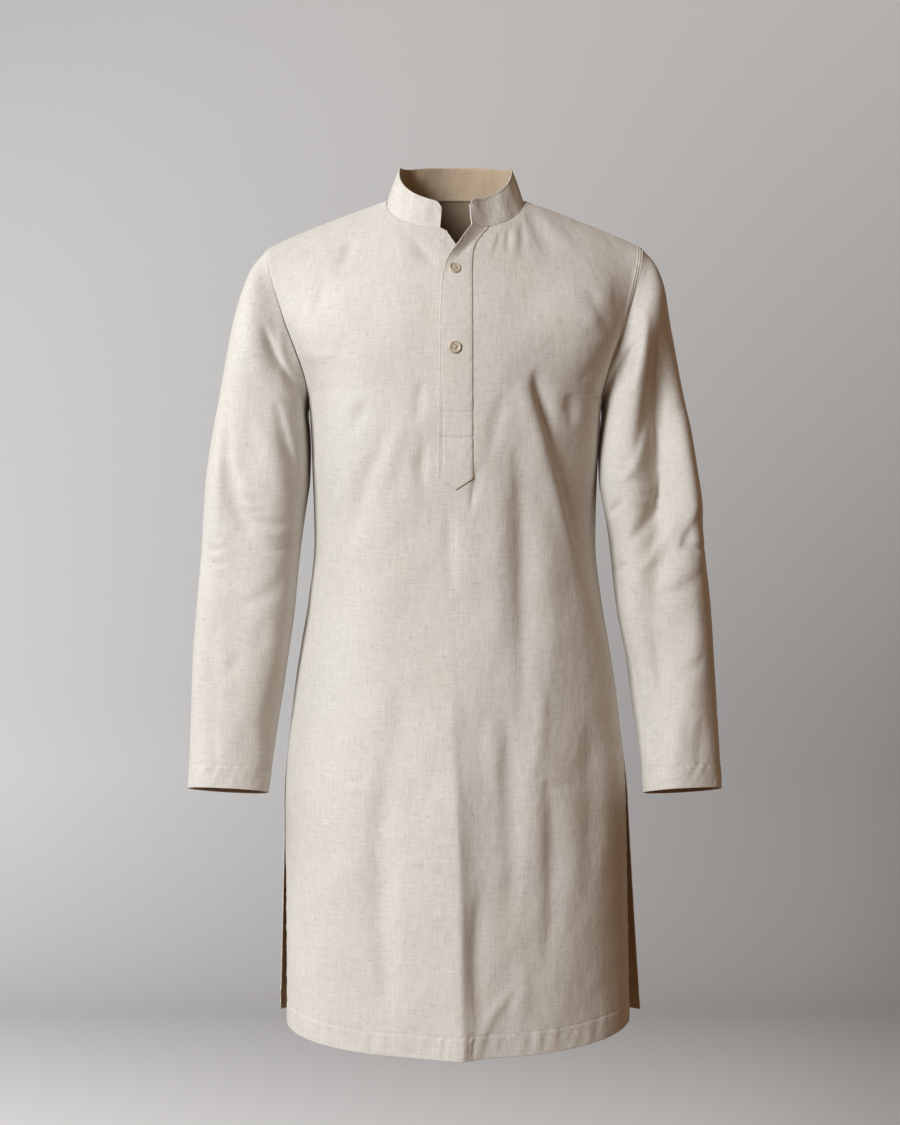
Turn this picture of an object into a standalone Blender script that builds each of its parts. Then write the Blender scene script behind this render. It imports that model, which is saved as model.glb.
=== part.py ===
"""Kurta tunic, filled out as it hangs when worn, with nobody in it.

Tables are in millimetres. X runs to the wearer's left, -Y is the front, Z is up. The origin is the
middle of the neck, level with the points where shoulder seams meet the collar.
"""

import math
from collections import namedtuple

import bmesh
import bpy
import numpy as np
from mathutils import Matrix, Vector

MM = 0.001

# Cloth
WALL = 1.5
COLLAR_WALL = 2.0
SEAM_GAP = 0.3

# Heights that the cut hangs on
ARMPIT = -240.0
SHOULDER_TIP = -57.0
SLIT_TOP = -607.0
FRONT_HEM = -977.0
BACK_HEM = -981.0
HEM_CORNER_RISE = 10.0
HEM_CORNER_FROM = 0.2
HEM_CORNER_FALL = 0.4

# The side edges below the slits: how far each panel stands off, and how late towards its edge
SLIT_FRONT = 32.0
SLIT_BACK = 34.0
BACK_SPREAD_LEFT = 24.0
BACK_SPREAD_RIGHT = 11.0
FRONT_SPREAD_LEFT = 3.0
FRONT_SPREAD_RIGHT = -5.5
FRONT_EDGE_POWER = 3.5
BACK_EDGE_POWER = 6
BACK_PARTING_POWER = 1.2

# Neck and shoulders
NECK_HALF_WIDTH = 82.0
NECK_SHARE = 0.4
FRONT_NECK_DROP = 46.0
FRONT_NECK_SQUARENESS = 2.3
BACK_NECK_RISE = 12.0
SHOULDER_HALF_WIDTH = 222.0
SHOULDER_TIP_Y = 5.0
FRONT_RIDGE_RISE = 15.0
BACK_RIDGE_RISE = 30.0
SHOULDER_ROLL = 200.0
FRONT_ROLL_POWER = 0.72
BACK_ROLL_POWER = 0.42
FOLD_END_POWER = 0.7
SIDE_KEPT_FROM = 0.9

# Armholes
ARMHOLE_HALF_WIDTH = 173.0
FRONT_ARMHOLE_REACH = 60.0
BACK_ARMHOLE_REACH = 70.0
ARMHOLE_EDGE_POWER = 6
ARMHOLE_ROUNDNESS = 0.9

# Placket opening in the front panel
CENTRE_SHARE = 0.06
OPENING_LEFT = 18.0
OPENING_RIGHT = 17.2
OPENING_FLARE = 19.0
FLARE_POWER = 1.3
FLARE_FROM = -82.0
NECK_CENTRE = -45.0
OPENING_BOTTOM = -264.0

FRONT = -1
BACK = 1

Section = namedtuple("Section", "height half_width front_depth back_depth squareness")
TORSO = (
    Section(40, 292, 94, 116, 2.3),
    Section(-57, 266, 110, 119, 2.3),
    Section(-100, 248, 121, 120, 2.3),
    Section(-152, 222, 128, 120, 2.3),
    Section(-200, 189, 130, 119, 2.3),
    Section(-240, 173, 130, 117, 2.3),
    Section(-300, 170, 127, 110, 2.3),
    Section(-405, 167, 118, 98, 2.25),
    Section(-476, 174, 118, 103, 2.2),
    Section(-524, 182, 121, 109, 2.2),
    Section(-595, 192, 127, 117, 2.15),
    Section(-714, 201, 136, 126, 2.15),
    Section(-850, 201, 142, 131, 2.15),
    Section(-980, 201, 147, 134, 2.15),
)

ShoulderPoint = namedtuple("ShoulderPoint", "across height")
SHOULDER_SEAM = (
    ShoulderPoint(82, 0),
    ShoulderPoint(125, -15.5),
    ShoulderPoint(149, -25),
    ShoulderPoint(172, -34),
    ShoulderPoint(196, -44),
    ShoulderPoint(222, -57),
)

ArmholePoint = namedtuple("ArmholePoint", "height across")
ARMHOLE = (
    ArmholePoint(-57, 222),
    ArmholePoint(-80, 218.5),
    ArmholePoint(-110, 211),
    ArmholePoint(-128, 205.5),
    ArmholePoint(-152, 198),
    ArmholePoint(-180, 187.5),
    ArmholePoint(-205, 178.5),
    ArmholePoint(-222, 174.5),
    ArmholePoint(-240, 173),
)

# Folds stand out of the cloth, or sink into it where the height is negative.
Fold = namedtuple("Fold", "across height to_across to_height half_width rise")
FRONT_FOLDS = (
    Fold(2, -520, 8, -1130, 34, 8),
    Fold(92, -225, 165, -475, 20, -6),
    Fold(64, -300, 72, -640, 22, -4),
    Fold(-62, -225, -125, -420, 22, -4),
    Fold(-78, -660, -72, -960, 26, -6),
    Fold(104, -660, 98, -950, 22, -5),
)
BACK_FOLDS = (
    Fold(-70, -180, -52, -560, 28, -5),
    Fold(66, -200, 80, -600, 26, -5),
    Fold(-150, -230, -92, -440, 22, -5),
    Fold(150, -230, 100, -460, 22, -5),
    Fold(-98, -600, -104, -1100, 30, 6),
    Fold(20, -560, 26, -1100, 30, -6),
    Fold(120, -620, 128, -1100, 28, 6),
)

# The outer edge carries on from the shoulder, the inner edge from the armpit.
SleeveRing = namedtuple(
    "SleeveRing", "place outer_x outer_z inner_x inner_z middle_y half_depth front_lift left_nearer"
)
SLEEVE = (
    SleeveRing(0, 222, -57, 173, -240, 2, 66, 0, 2),
    SleeveRing(1, 239, -79, 182, -256, 3, 72, 0, 4),
    SleeveRing(2, 254, -117, 182, -278, 3, 76, 0, 5),
    SleeveRing(3, 265, -160, 179, -302, 1, 77, 0, 6),
    SleeveRing(4, 275, -214, 178, -332, -1, 76, 1, 7),
    SleeveRing(5, 286, -280, 179, -362, -3, 73, 2, 7),
    SleeveRing(6, 294, -345, 182, -396, -5, 69, 3, 6),
    SleeveRing(7, 299, -410, 187, -436, -6, 64, 4, 4),
    SleeveRing(8, 304, -480, 193, -488, -9, 59, 5, 3),
    SleeveRing(9, 308, -545, 203, -548, -14, 54, 6, 3),
    SleeveRing(10, 310, -600, 210, -602, -19, 49, 7, 3),
    SleeveRing(11, 312, -650, 217, -652, -24, 44, 8, 2),
    SleeveRing(12, 314, -696, 223, -701, -29, 40, 8, 2),
)
SLEEVE_START = 1.7
ARMHOLE_OUTWARD = (0.963, 0.0, -0.27)
SLEEVE_SEAM_FADE = 2.5
SLEEVE_FOLDS_FROM = 1.2
SLEEVE_RING_STEP = 54.0
SLEEVE_RADIUS = 58.0

# Turn is in degrees from the outer edge through the front; place counts rings of the table.
SleeveFold = namedtuple("SleeveFold", "turn place to_turn to_place half_width rise")
LEFT_SLEEVE_FOLDS = (
    SleeveFold(62, 0.6, 128, 5.2, 16, -9),
    SleeveFold(100, 0.4, 150, 3.2, 15, 5),
    SleeveFold(40, 5.6, 130, 7.4, 15, -5),
    SleeveFold(230, 0.8, 205, 5.0, 18, -7),
    SleeveFold(20, 7.6, 110, 8.2, 14, -3),
    SleeveFold(300, 5.0, 215, 7.5, 18, -5),
)
RIGHT_SLEEVE_FOLDS = (
    SleeveFold(98, 0.6, 160, 3.6, 15, -9),
    SleeveFold(30, 4.6, 120, 7.4, 16, -5),
    SleeveFold(120, 3.2, 165, 6.2, 14, -4),
    SleeveFold(228, 0.8, 200, 5.2, 18, -7),
    SleeveFold(10, 8.4, 80, 8.0, 14, -3),
    SleeveFold(305, 5.0, 220, 7.3, 18, -5),
)

# Over-placket: the fixed edge is sewn to the front, the free edge stands off it near the neck.
StripRow = namedtuple("StripRow", "height fixed free valley lift")
OVER_STRIP = (
    StripRow(-44.5, 39.5, 17.5, 36, 13),
    StripRow(-55, 32, 10.5, 27, 11),
    StripRow(-66, 25, 3.5, 17, 8.5),
    StripRow(-78, 21.5, -5, 7, 5.5),
    StripRow(-90, 20.5, -11, -2, 2.8),
    StripRow(-108, 20, -15, -9, 0.8),
    StripRow(-135, 20, -17, -14, 0),
    StripRow(-350, 20.5, -19.5, -19, 0),
)
LAPEL_POWER = 1.3
OVER_TAPER = -300.0
OVER_END = -350.0
OVER_TOP = -44.5
OVER_POINT_DROP = 13.0

UnderRow = namedtuple("UnderRow", "height free")
UNDER_STRIP = (
    UnderRow(-47, -9),
    UnderRow(-66, 0),
    UnderRow(-84, 9),
    UnderRow(-100, 14),
    UnderRow(-130, 15),
    UnderRow(-262, 15),
)
UNDER_TOP = -44.5
UNDER_SLANT = 5.0
UNDER_SLANT_FROM = -66.0
UNDER_BOTTOM = OPENING_BOTTOM + 0.8

# Collar
CollarPoint = namedtuple("CollarPoint", "share height")
COLLAR = (
    CollarPoint(0, 32),
    CollarPoint(0.08, 36),
    CollarPoint(0.26, 41),
    CollarPoint(0.5, 39),
    CollarPoint(0.74, 41),
    CollarPoint(0.92, 36),
    CollarPoint(1, 32),
)
COLLAR_LEAN = 6.0
COLLAR_SIDE_LEAN = 9.0
COLLAR_CORNER = 9.0
COLLAR_GAP = 0.5
NECK_AXIS_Y = 3.0

# Buttons
BUTTON_DIAMETER = 14.0
BUTTON_THICKNESS = 2.6
BUTTON_DISH = 0.7
BUTTON_RIM = 1.6
BUTTON_EDGE = 0.5
BUTTON_STANDOFF = 0.2
HOLE_DIAMETER = 1.8
HOLE_SPACING = 3.2
HOLE_SIDES = 10
TURNING_STEPS = 28
BUTTON_X = -0.5
BUTTON_HEIGHTS = {"button_upper": -99.5, "button_lower": -192.0}

# Finishes
CLOTH = (0.72, 0.67, 0.59)
COLLAR_CLOTH = (0.70, 0.65, 0.57)
BUTTON = (0.78, 0.70, 0.56)
CLOTH_ROUGHNESS = 0.9
BUTTON_ROUGHNESS = 0.4

# Rows and columns of the panels, the same front and back so that their side seams meet
LEVELS = (-264, -300, -340, -380, -420, -462, -505, -550, -607, -655, -705, -755, -805, -855, -905, -952)
ARMHOLE_STEPS = 10
NECK_STEPS = 5
SHOULDER_STEPS = 5
CREASE_SHARE = 0.35
PANEL_LIMITS = (-1, 1, 0, 2)
PANEL_REACH = (1e-3, 1e-3)

# Rings of the sleeves, and rows and columns of the smaller pieces
SLEEVE_PLACES = (0, 0.5, 1, 1.5, 2, 2.6, 3.3, 4, 4.7, 5.4, 6, 6.6, 7.2, 7.8, 8.5, 9.3, 10.1, 11, 11.6, 12)
SLEEVE_LIMITS = (-10, 370, 0, 12)
SLEEVE_REACH = (2.0, 0.02)
OVER_SHARES = (0, 0.17, 0.34, 0.5, 0.66, 0.83, 1)
UNDER_SHARES = (0, 0.33, 0.66, 1)
STRIP_REACH = (0.02, 1.0)
STRIP_ROW_GAP = 2.0
COLLAR_SHARES = (0, 0.35, 0.7, 1)
COLLAR_ENDS = (1.2, 3.0, 6.0)
COLLAR_REACH = (8.0, 0.02)
BUTTON_REACH = (0.15, 5.0)


def read(table, column, at, key="height"):
    """One column of a table at any key: a smooth curve through its rows, without overshoot."""
    rows = sorted(table, key=lambda row: getattr(row, key))
    knots = np.array([getattr(row, key) for row in rows], float)
    values = np.array([getattr(row, column) for row in rows], float)
    step = np.diff(knots)
    pitch = np.diff(values) / step
    same_way = pitch[1:] * pitch[:-1] > 0
    joint = 2 * pitch[1:] * pitch[:-1] / np.where(same_way, pitch[1:] + pitch[:-1], np.inf)
    slope = np.concatenate([pitch[:1], joint, pitch[-1:]])
    place = np.clip(np.searchsorted(knots, at) - 1, 0, len(step) - 1)
    t = np.clip((at - knots[place]) / step[place], 0, 1)
    start = (1 + 2 * t) * (1 - t) ** 2 * values[place]
    end = t**2 * (3 - 2 * t) * values[place + 1]
    bend = t * (1 - t) * ((1 - t) * slope[place] - t * slope[place + 1])
    return start + end + bend * step[place]


def soft_step(share):
    share = np.clip(share, 0, 1)
    return share * share * (3 - 2 * share)


def side_column(face):
    return "front_depth" if face == FRONT else "back_depth"


def ridge_height(face, x):
    """Height of the shoulder line, carried on over the neck opening."""
    x = np.abs(x)
    rise = FRONT_RIDGE_RISE if face == FRONT else BACK_RIDGE_RISE
    over_neck = rise * (1 - np.clip(x / NECK_HALF_WIDTH, 0, 1) ** 2)
    return np.where(x < NECK_HALF_WIDTH, over_neck, read(SHOULDER_SEAM, "height", x, "across"))


def neck_height(face, x):
    """Height of the neckline over the front or back panel."""
    share = np.clip(np.abs(x) / NECK_HALF_WIDTH, 0, 1)
    if face == BACK:
        return BACK_NECK_RISE * (1 - share**2)
    power = FRONT_NECK_SQUARENESS
    return -FRONT_NECK_DROP * (1 - share**power) ** (1 / power)


def smooth_torso_y(face, x, z):
    """Depth of the cloth over the form: an oval section that rolls off towards the shoulder line."""
    squareness = read(TORSO, "squareness", z)
    share = np.clip(np.abs(x) / read(TORSO, "half_width", z), 0, 1)
    out = (1 - share**squareness) ** (1 / squareness)
    below_ridge = np.clip((ridge_height(face, x) - z) / SHOULDER_ROLL, 0, 1)
    power = FRONT_ROLL_POWER if face == FRONT else BACK_ROLL_POWER
    roll = (1 - (1 - below_ridge) ** 2) ** power
    outward_share = (np.abs(x) - NECK_HALF_WIDTH) / (SHOULDER_HALF_WIDTH - NECK_HALF_WIDTH)
    ridge_y = SHOULDER_TIP_Y * np.clip(outward_share, 0, 1) * (1 - below_ridge)
    return ridge_y + face * read(TORSO, side_column(face), z) * out * roll


def fold_rise(folds, x, z):
    """How far the folds of a panel lift it, at this width and height."""
    total = np.zeros(np.broadcast(x, z).shape)
    for fold in folds:
        run = np.array([fold.to_across - fold.across, fold.to_height - fold.height], float)
        length = np.hypot(*run)
        run /= length
        along = ((x - fold.across) * run[0] + (z - fold.height) * run[1]) / length
        off = ((x - fold.across) * run[1] - (z - fold.height) * run[0]) / fold.half_width
        faded = np.sin(np.pi * np.clip(along, 0, 1)) ** FOLD_END_POWER
        total = total + fold.rise * np.exp(-(off**2)) * faded
    return total


def torso(face, across, along):
    """A point of the front or back panel.

    Across runs from -1 to 1 between the side edges. Along is 0 at the hem, 1 at the armpit and 2 at
    the shoulder seam and neckline.
    """
    across, along = np.broadcast_arrays(np.asarray(across, float), np.asarray(along, float))
    core = CENTRE_SHARE if face == FRONT else 0.0
    size = np.clip((np.abs(across) - core) / (1 - core), 0, 1)
    side = np.where(across < 0, -1.0, 1.0)
    lift = (1 - np.cos(np.pi * np.clip(along - 1, 0, 1))) / 2
    opening = np.where(side > 0, OPENING_LEFT, OPENING_RIGHT) if face == FRONT else 0.0

    # the shoulder seam and neckline
    neck_share = np.clip(size / NECK_SHARE, 0, 1)
    shoulder_share = np.clip((size - NECK_SHARE) / (1 - NECK_SHARE), 0, 1)
    flare = np.where(side > 0, OPENING_FLARE, 0.0) if face == FRONT else 0.0
    top_x = opening + (NECK_HALF_WIDTH - opening) * neck_share
    top_x = top_x + (SHOULDER_HALF_WIDTH - NECK_HALF_WIDTH) * shoulder_share
    rim_x = np.where(size < NECK_SHARE, top_x + flare * (1 - neck_share), top_x)
    on_neck = neck_height(face, rim_x)
    on_shoulder = read(SHOULDER_SEAM, "height", rim_x, "across")
    top_z = np.where(size < NECK_SHARE, on_neck, on_shoulder)

    # heights: level lines up to the armpit, then spread to the seams above
    hem = FRONT_HEM if face == FRONT else BACK_HEM
    fall = np.clip(1 - along, 0, 1)
    near_side = soft_step((size - HEM_CORNER_FROM) / (1 - HEM_CORNER_FROM))
    near_hem = soft_step((fall - HEM_CORNER_FALL) / (1 - HEM_CORNER_FALL))
    corner = HEM_CORNER_RISE * near_side * near_hem
    body_z = ARMPIT + (hem - ARMPIT) * fall + corner
    z = np.where(along > 1, ARMPIT + (top_z - ARMPIT) * lift, body_z)

    # widths
    edge_z = ARMPIT + (SHOULDER_TIP - ARMPIT) * lift
    edge_x = read(ARMHOLE, "across", edge_z)
    spread = (edge_x - ARMHOLE_HALF_WIDTH) / (SHOULDER_HALF_WIDTH - ARMHOLE_HALF_WIDTH)
    level = np.minimum(z, ARMPIT)
    squareness = read(TORSO, "squareness", level)
    reach = np.sin(size * np.pi / 2) ** (2 / squareness)
    body_x = opening + (read(TORSO, "half_width", level) - opening) * reach
    x = body_x + (top_x - body_x) * spread
    flared = np.clip((z - FLARE_FROM) / (NECK_CENTRE - FLARE_FROM), 0, 1) ** FLARE_POWER
    x = x + flare * (1 - neck_share) * flared
    if face == FRONT:
        x = x * np.clip(np.abs(across) / core, 0, 1)

    # depths, made to meet the armhole exactly
    y = smooth_torso_y(face, x, z)
    armhole_reach = FRONT_ARMHOLE_REACH if face == FRONT else BACK_ARMHOLE_REACH
    round_armhole = np.sin(np.pi * np.clip(along - 1, 0, 1)) ** ARMHOLE_ROUNDNESS
    armhole_y = SHOULDER_TIP_Y * lift + face * armhole_reach * round_armhole
    edge_y = smooth_torso_y(face, edge_x, edge_z)
    y = y + np.where(along > 1, (armhole_y - edge_y) * size**ARMHOLE_EDGE_POWER, 0.0)

    # below the slits the panels stand apart
    parted = np.clip((SLIT_TOP - z) / (SLIT_TOP - hem), 0, 1)
    if face == FRONT:
        off_side = parted * size**FRONT_EDGE_POWER
        y = y - SLIT_FRONT * off_side
        x = x + np.where(side > 0, FRONT_SPREAD_LEFT, FRONT_SPREAD_RIGHT) * off_side
    else:
        off_side = parted**BACK_PARTING_POWER * size**BACK_EDGE_POWER
        y = y + SLIT_BACK * off_side
        x = x + np.where(side > 0, BACK_SPREAD_LEFT, BACK_SPREAD_RIGHT) * off_side
    x = x * side

    # folds push the cloth straight out of its section
    half_width = read(TORSO, "half_width", z)
    depth = read(TORSO, side_column(face), z)
    away = np.stack([x / half_width**2, y / depth**2], -1)
    away /= np.maximum(np.linalg.norm(away, axis=-1, keepdims=True), 1e-9)
    folds = FRONT_FOLDS if face == FRONT else BACK_FOLDS
    at_side = soft_step((size - SIDE_KEPT_FROM) / (1 - SIDE_KEPT_FROM))
    keep_seams = 1 - np.where(along > 1, size**ARMHOLE_EDGE_POWER, at_side)
    rise = fold_rise(folds, x, z) * keep_seams
    y = y + face * SEAM_GAP / 2
    return np.stack([x + away[..., 0] * rise, y + away[..., 1] * rise, z], -1)


def front(across, along):
    return torso(FRONT, across, along)


def back(across, along):
    return torso(BACK, across, along)


def armhole(turn):
    """The armhole on the wearer's left at this turn, from the shoulder through the front."""
    turn = np.mod(turn, 360.0)
    rise = 1 - np.abs(np.where(turn > 180, 360 - turn, turn)) / 180
    on_front = torso(FRONT, np.ones_like(rise), 1 + rise)
    on_back = torso(BACK, np.ones_like(rise), 1 + rise)
    return np.where((turn <= 180)[..., None], on_front, on_back)


def plain_ring(side, turn, place):
    """A ring of the plain sleeve, as if on the wearer's left, before its seam is fitted to the armhole."""
    angle = np.radians(turn)
    nearer = read(SLEEVE, "left_nearer", place, "place") * max(side, 0)
    outer_x = read(SLEEVE, "outer_x", place, "place") - nearer
    outer = np.stack([outer_x, read(SLEEVE, "outer_z", place, "place")], -1)
    inner_x = read(SLEEVE, "inner_x", place, "place")
    inner = np.stack([inner_x, read(SLEEVE, "inner_z", place, "place")], -1)
    middle = (outer + inner) / 2
    arm = (outer - inner) / 2
    half_depth = read(SLEEVE, "half_depth", place, "place")
    lift = read(SLEEVE, "front_lift", place, "place")
    x = middle[..., 0] + arm[..., 0] * np.cos(angle)
    z = middle[..., 1] + arm[..., 1] * np.cos(angle) + lift * np.sin(angle)
    y = read(SLEEVE, "middle_y", place, "place") - half_depth * np.sin(angle)
    return np.stack([x, y, z], -1)


def sleeve_fold_rise(folds, turn, place):
    """How far the folds lift a sleeve, measured round it and down it in millimetres."""
    rise = np.zeros(turn.shape)
    for fold in folds:
        round_it = math.radians(fold.to_turn - fold.turn) * SLEEVE_RADIUS
        run = np.array([round_it, (fold.to_place - fold.place) * SLEEVE_RING_STEP])
        length = np.hypot(*run)
        run = run / length
        around = (np.mod(turn - fold.turn + 180, 360) - 180) * np.pi / 180 * SLEEVE_RADIUS
        down = (place - fold.place) * SLEEVE_RING_STEP
        along = (around * run[0] + down * run[1]) / length
        aside = (around * run[1] - down * run[0]) / fold.half_width
        faded = np.sin(np.pi * np.clip(along, 0, 1)) ** FOLD_END_POWER
        rise = rise + fold.rise * np.exp(-(aside**2)) * faded
    return rise


def sleeve(side, turn, place):
    """A point of a sleeve: side is 1 on the wearer's left and -1 on the right."""
    turn, place = np.broadcast_arrays(np.asarray(turn, float), np.asarray(place, float))
    point = plain_ring(side, turn, place)
    seam = plain_ring(side, turn, np.zeros_like(place))
    off = armhole(turn) + SLEEVE_START * np.array(ARMHOLE_OUTWARD) - seam
    fade = 1 - soft_step(place / SLEEVE_SEAM_FADE)
    point = point + off * fade[..., None]
    folds = LEFT_SLEEVE_FOLDS if side > 0 else RIGHT_SLEEVE_FOLDS
    outer_edge = plain_ring(side, np.zeros_like(place), place)
    inner_edge = plain_ring(side, np.full_like(place, 180.0), place)
    centre = (outer_edge + inner_edge) / 2
    away = point - centre
    away /= np.linalg.norm(away, axis=-1, keepdims=True)
    rise = sleeve_fold_rise(folds, turn, place) * soft_step(place / SLEEVE_FOLDS_FROM)
    point = point + away * rise[..., None]
    return point * np.array([side, 1.0, 1.0])


def front_surface(x, z):
    """The front panel over its middle, read by width and height."""
    y = smooth_torso_y(FRONT, x, z) - SEAM_GAP / 2 - fold_rise(FRONT_FOLDS, x, z)
    return np.stack([x + 0 * z, y, z + 0 * x], -1)


def outward(surface, u, v, step_u, step_v):
    """Unit normals of a surface, to the right of U crossed with V."""
    along_u = surface(u + step_u, v) - surface(u - step_u, v)
    along_v = surface(u, v + step_v) - surface(u, v - step_v)
    normal = np.cross(along_u, along_v)
    return normal / np.maximum(np.linalg.norm(normal, axis=-1, keepdims=True), 1e-12)


def over_strip(share, z):
    """The over-placket's underside before its gap: share 0 at the free edge, 1 at the fixed edge."""
    below_taper = np.clip((OVER_TAPER - z) / (OVER_TAPER - OVER_END), 0, 1)
    z = z + OVER_POINT_DROP * np.abs(2 * share - 1) * below_taper
    fixed = read(OVER_STRIP, "fixed", z)
    free = read(OVER_STRIP, "free", z)
    valley = read(OVER_STRIP, "valley", z)
    x = free + (fixed - free) * share
    raised = np.clip((valley - x) / np.maximum(valley - free, 1e-6), 0, 1) ** LAPEL_POWER
    lift = read(OVER_STRIP, "lift", z) * raised
    return front_surface(x, z) - np.stack([0 * lift, lift, 0 * lift], -1)


def under_strip(share, z):
    """The under-placket's outside, level with the front: share 0 at its sewn edge, 1 at its free edge."""
    free = read(UNDER_STRIP, "free", z)
    sewn = SEAM_GAP - OPENING_RIGHT
    near_top = np.clip((z - UNDER_SLANT_FROM) / (UNDER_TOP - UNDER_SLANT_FROM), 0, 1)
    return front_surface(sewn + (free - sewn) * share, z - UNDER_SLANT * share * near_top)


def shell_mesh(name, outer, inner, looped=False, keep=None):
    """A closed wall between two grids of points of one shape; keep says which cells are cloth.

    Every cell is split the same way on both skins, so pieces made on the same rows stay parallel.
    """
    rows, columns = outer.shape[:2]
    mesh = bmesh.new()
    skins = [[[mesh.verts.new(Vector(p) * MM) for p in row] for row in skin] for skin in (outer, inner)]
    cells = []
    for i in range(rows - 1):
        for j in range(columns if looped else columns - 1):
            if keep is None or keep(i, j):
                ahead = (j + 1) % columns
                cells.append(((i, j), (i, ahead), (i + 1, ahead), (i + 1, j)))
    edges = {}
    for cell in cells:
        for a, b in zip(cell, cell[1:] + cell[:1]):
            edges[(a, b)] = (b, a)
    for cell in cells:
        for corners in ((cell[0], cell[1], cell[2]), (cell[0], cell[2], cell[3])):
            mesh.faces.new([skins[0][i][j] for i, j in corners])
            mesh.faces.new([skins[1][i][j] for i, j in reversed(corners)])
    for (a, b), back_edge in edges.items():
        if back_edge in edges:
            continue
        mesh.faces.new([skins[0][b[0]][b[1]], skins[0][a[0]][a[1]], skins[1][a[0]][a[1]]])
        mesh.faces.new([skins[0][b[0]][b[1]], skins[1][a[0]][a[1]], skins[1][b[0]][b[1]]])
    loose = [vert for vert in mesh.verts if not vert.link_faces]
    bmesh.ops.delete(mesh, geom=loose, context="VERTS")
    data = bpy.data.meshes.new(name)
    mesh.to_mesh(data)
    mesh.free()
    return data


def add_piece(name, data, colour, roughness, collection):
    piece = bpy.data.objects.new(name, data)
    collection.objects.link(piece)
    material = bpy.data.materials.new(name)
    material.use_nodes = True
    shader = material.node_tree.nodes["Principled BSDF"]
    shader.inputs["Base Color"].default_value = (*colour, 1.0)
    shader.inputs["Roughness"].default_value = roughness
    shader.inputs["Metallic"].default_value = 0.0
    data.materials.append(material)
    return piece


for old in list(bpy.data.objects):
    bpy.data.objects.remove(old)
kurta = bpy.data.collections.new("kurta_tunic")
bpy.context.scene.collection.children.link(kurta)
cutters = bpy.data.collections.new("cutters")
bpy.context.scene.collection.children.link(cutters)
cutters.hide_render = True


def wall_grid(surface, u, v, steps, limits, facing=1, wall=WALL, rise=0.0):
    """The outer and inner points of a wall on a surface; facing is 1 where U crossed with V points out."""
    near_u = np.clip(u, limits[0] + steps[0], limits[1] - steps[0])
    near_v = np.clip(v, limits[2] + steps[1], limits[3] - steps[1])
    normal = facing * outward(surface, near_u, near_v, *steps)
    outer = surface(u, v) + rise * normal
    inner = outer - wall * normal
    return (outer, inner) if facing > 0 else (outer[:, ::-1], inner[:, ::-1])


def panel_rows(hem):
    lower = [1 - (ARMPIT - level) / (ARMPIT - hem) for level in reversed(LEVELS)]
    upper = [1 + step / ARMHOLE_STEPS for step in range(ARMHOLE_STEPS + 1)]
    return np.array([0.0, *lower, *upper])


# Front and back panels
neck_steps = np.linspace(0, NECK_SHARE, NECK_STEPS + 1)
steps = np.concatenate([neck_steps, np.linspace(NECK_SHARE, 1, SHOULDER_STEPS + 1)[1:]])
middle = NECK_STEPS + SHOULDER_STEPS
beside_opening = CENTRE_SHARE + (1 - CENTRE_SHARE) * steps
front_across = np.concatenate([-beside_opening[::-1], [CREASE_SHARE * CENTRE_SHARE], beside_opening])
back_across = np.concatenate([-steps[:0:-1], steps])
front_grid = np.meshgrid(front_across, panel_rows(FRONT_HEM))
back_grid = np.meshgrid(back_across, panel_rows(BACK_HEM))
front_walls = wall_grid(front, *front_grid, PANEL_REACH, PANEL_LIMITS)
back_walls = wall_grid(back, *back_grid, PANEL_REACH, PANEL_LIMITS, facing=-1)
opening_row = len(LEVELS)
opening_columns = (middle, middle + 1)


def outside_opening(row, column):
    return row < opening_row or column not in opening_columns


front_mesh = shell_mesh("front", *front_walls, keep=outside_opening)
add_piece("front", front_mesh, CLOTH, CLOTH_ROUGHNESS, kurta)
add_piece("back", shell_mesh("back", *back_walls), CLOTH, CLOTH_ROUGHNESS, kurta)

# Sleeves
turns = np.arange(2 * ARMHOLE_STEPS) * 180.0 / ARMHOLE_STEPS
for name, side in (("sleeve_left", 1), ("sleeve_right", -1)):
    ring_turns, ring_places = np.meshgrid(turns, SLEEVE_PLACES)

    def surface(turn, place, side=side):
        return sleeve(side, turn, place)

    walls = wall_grid(surface, ring_turns, ring_places, SLEEVE_REACH, SLEEVE_LIMITS, facing=side)
    add_piece(name, shell_mesh(name, *walls, looped=True), CLOTH, CLOTH_ROUGHNESS, kurta)

# Placket strips, on the rows of the front panel so that they lie evenly on it
front_heights = front_walls[0][:, middle, 2]
over_inside = (front_heights > OVER_END) & (front_heights < OVER_TOP - STRIP_ROW_GAP)
under_inside = (front_heights > UNDER_BOTTOM + STRIP_ROW_GAP) & (front_heights < UNDER_TOP - STRIP_ROW_GAP)
over_grid = np.meshgrid(OVER_SHARES, (OVER_END, *front_heights[over_inside], OVER_TOP))
under_grid = np.meshgrid(UNDER_SHARES, (UNDER_BOTTOM, *front_heights[under_inside], UNDER_TOP))
over_limits = (0, 1, OVER_END, OVER_TOP)
under_limits = (0, 1, UNDER_BOTTOM, UNDER_TOP)
over_walls = wall_grid(over_strip, *over_grid, STRIP_REACH, over_limits, rise=SEAM_GAP + WALL)
under_walls = wall_grid(under_strip, *under_grid, STRIP_REACH, under_limits)
add_piece("placket_over", shell_mesh("placket_over", *over_walls), CLOTH, CLOTH_ROUGHNESS, kurta)
add_piece("placket_under", shell_mesh("placket_under", *under_walls), CLOTH, CLOTH_ROUGHNESS, kurta)

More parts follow.
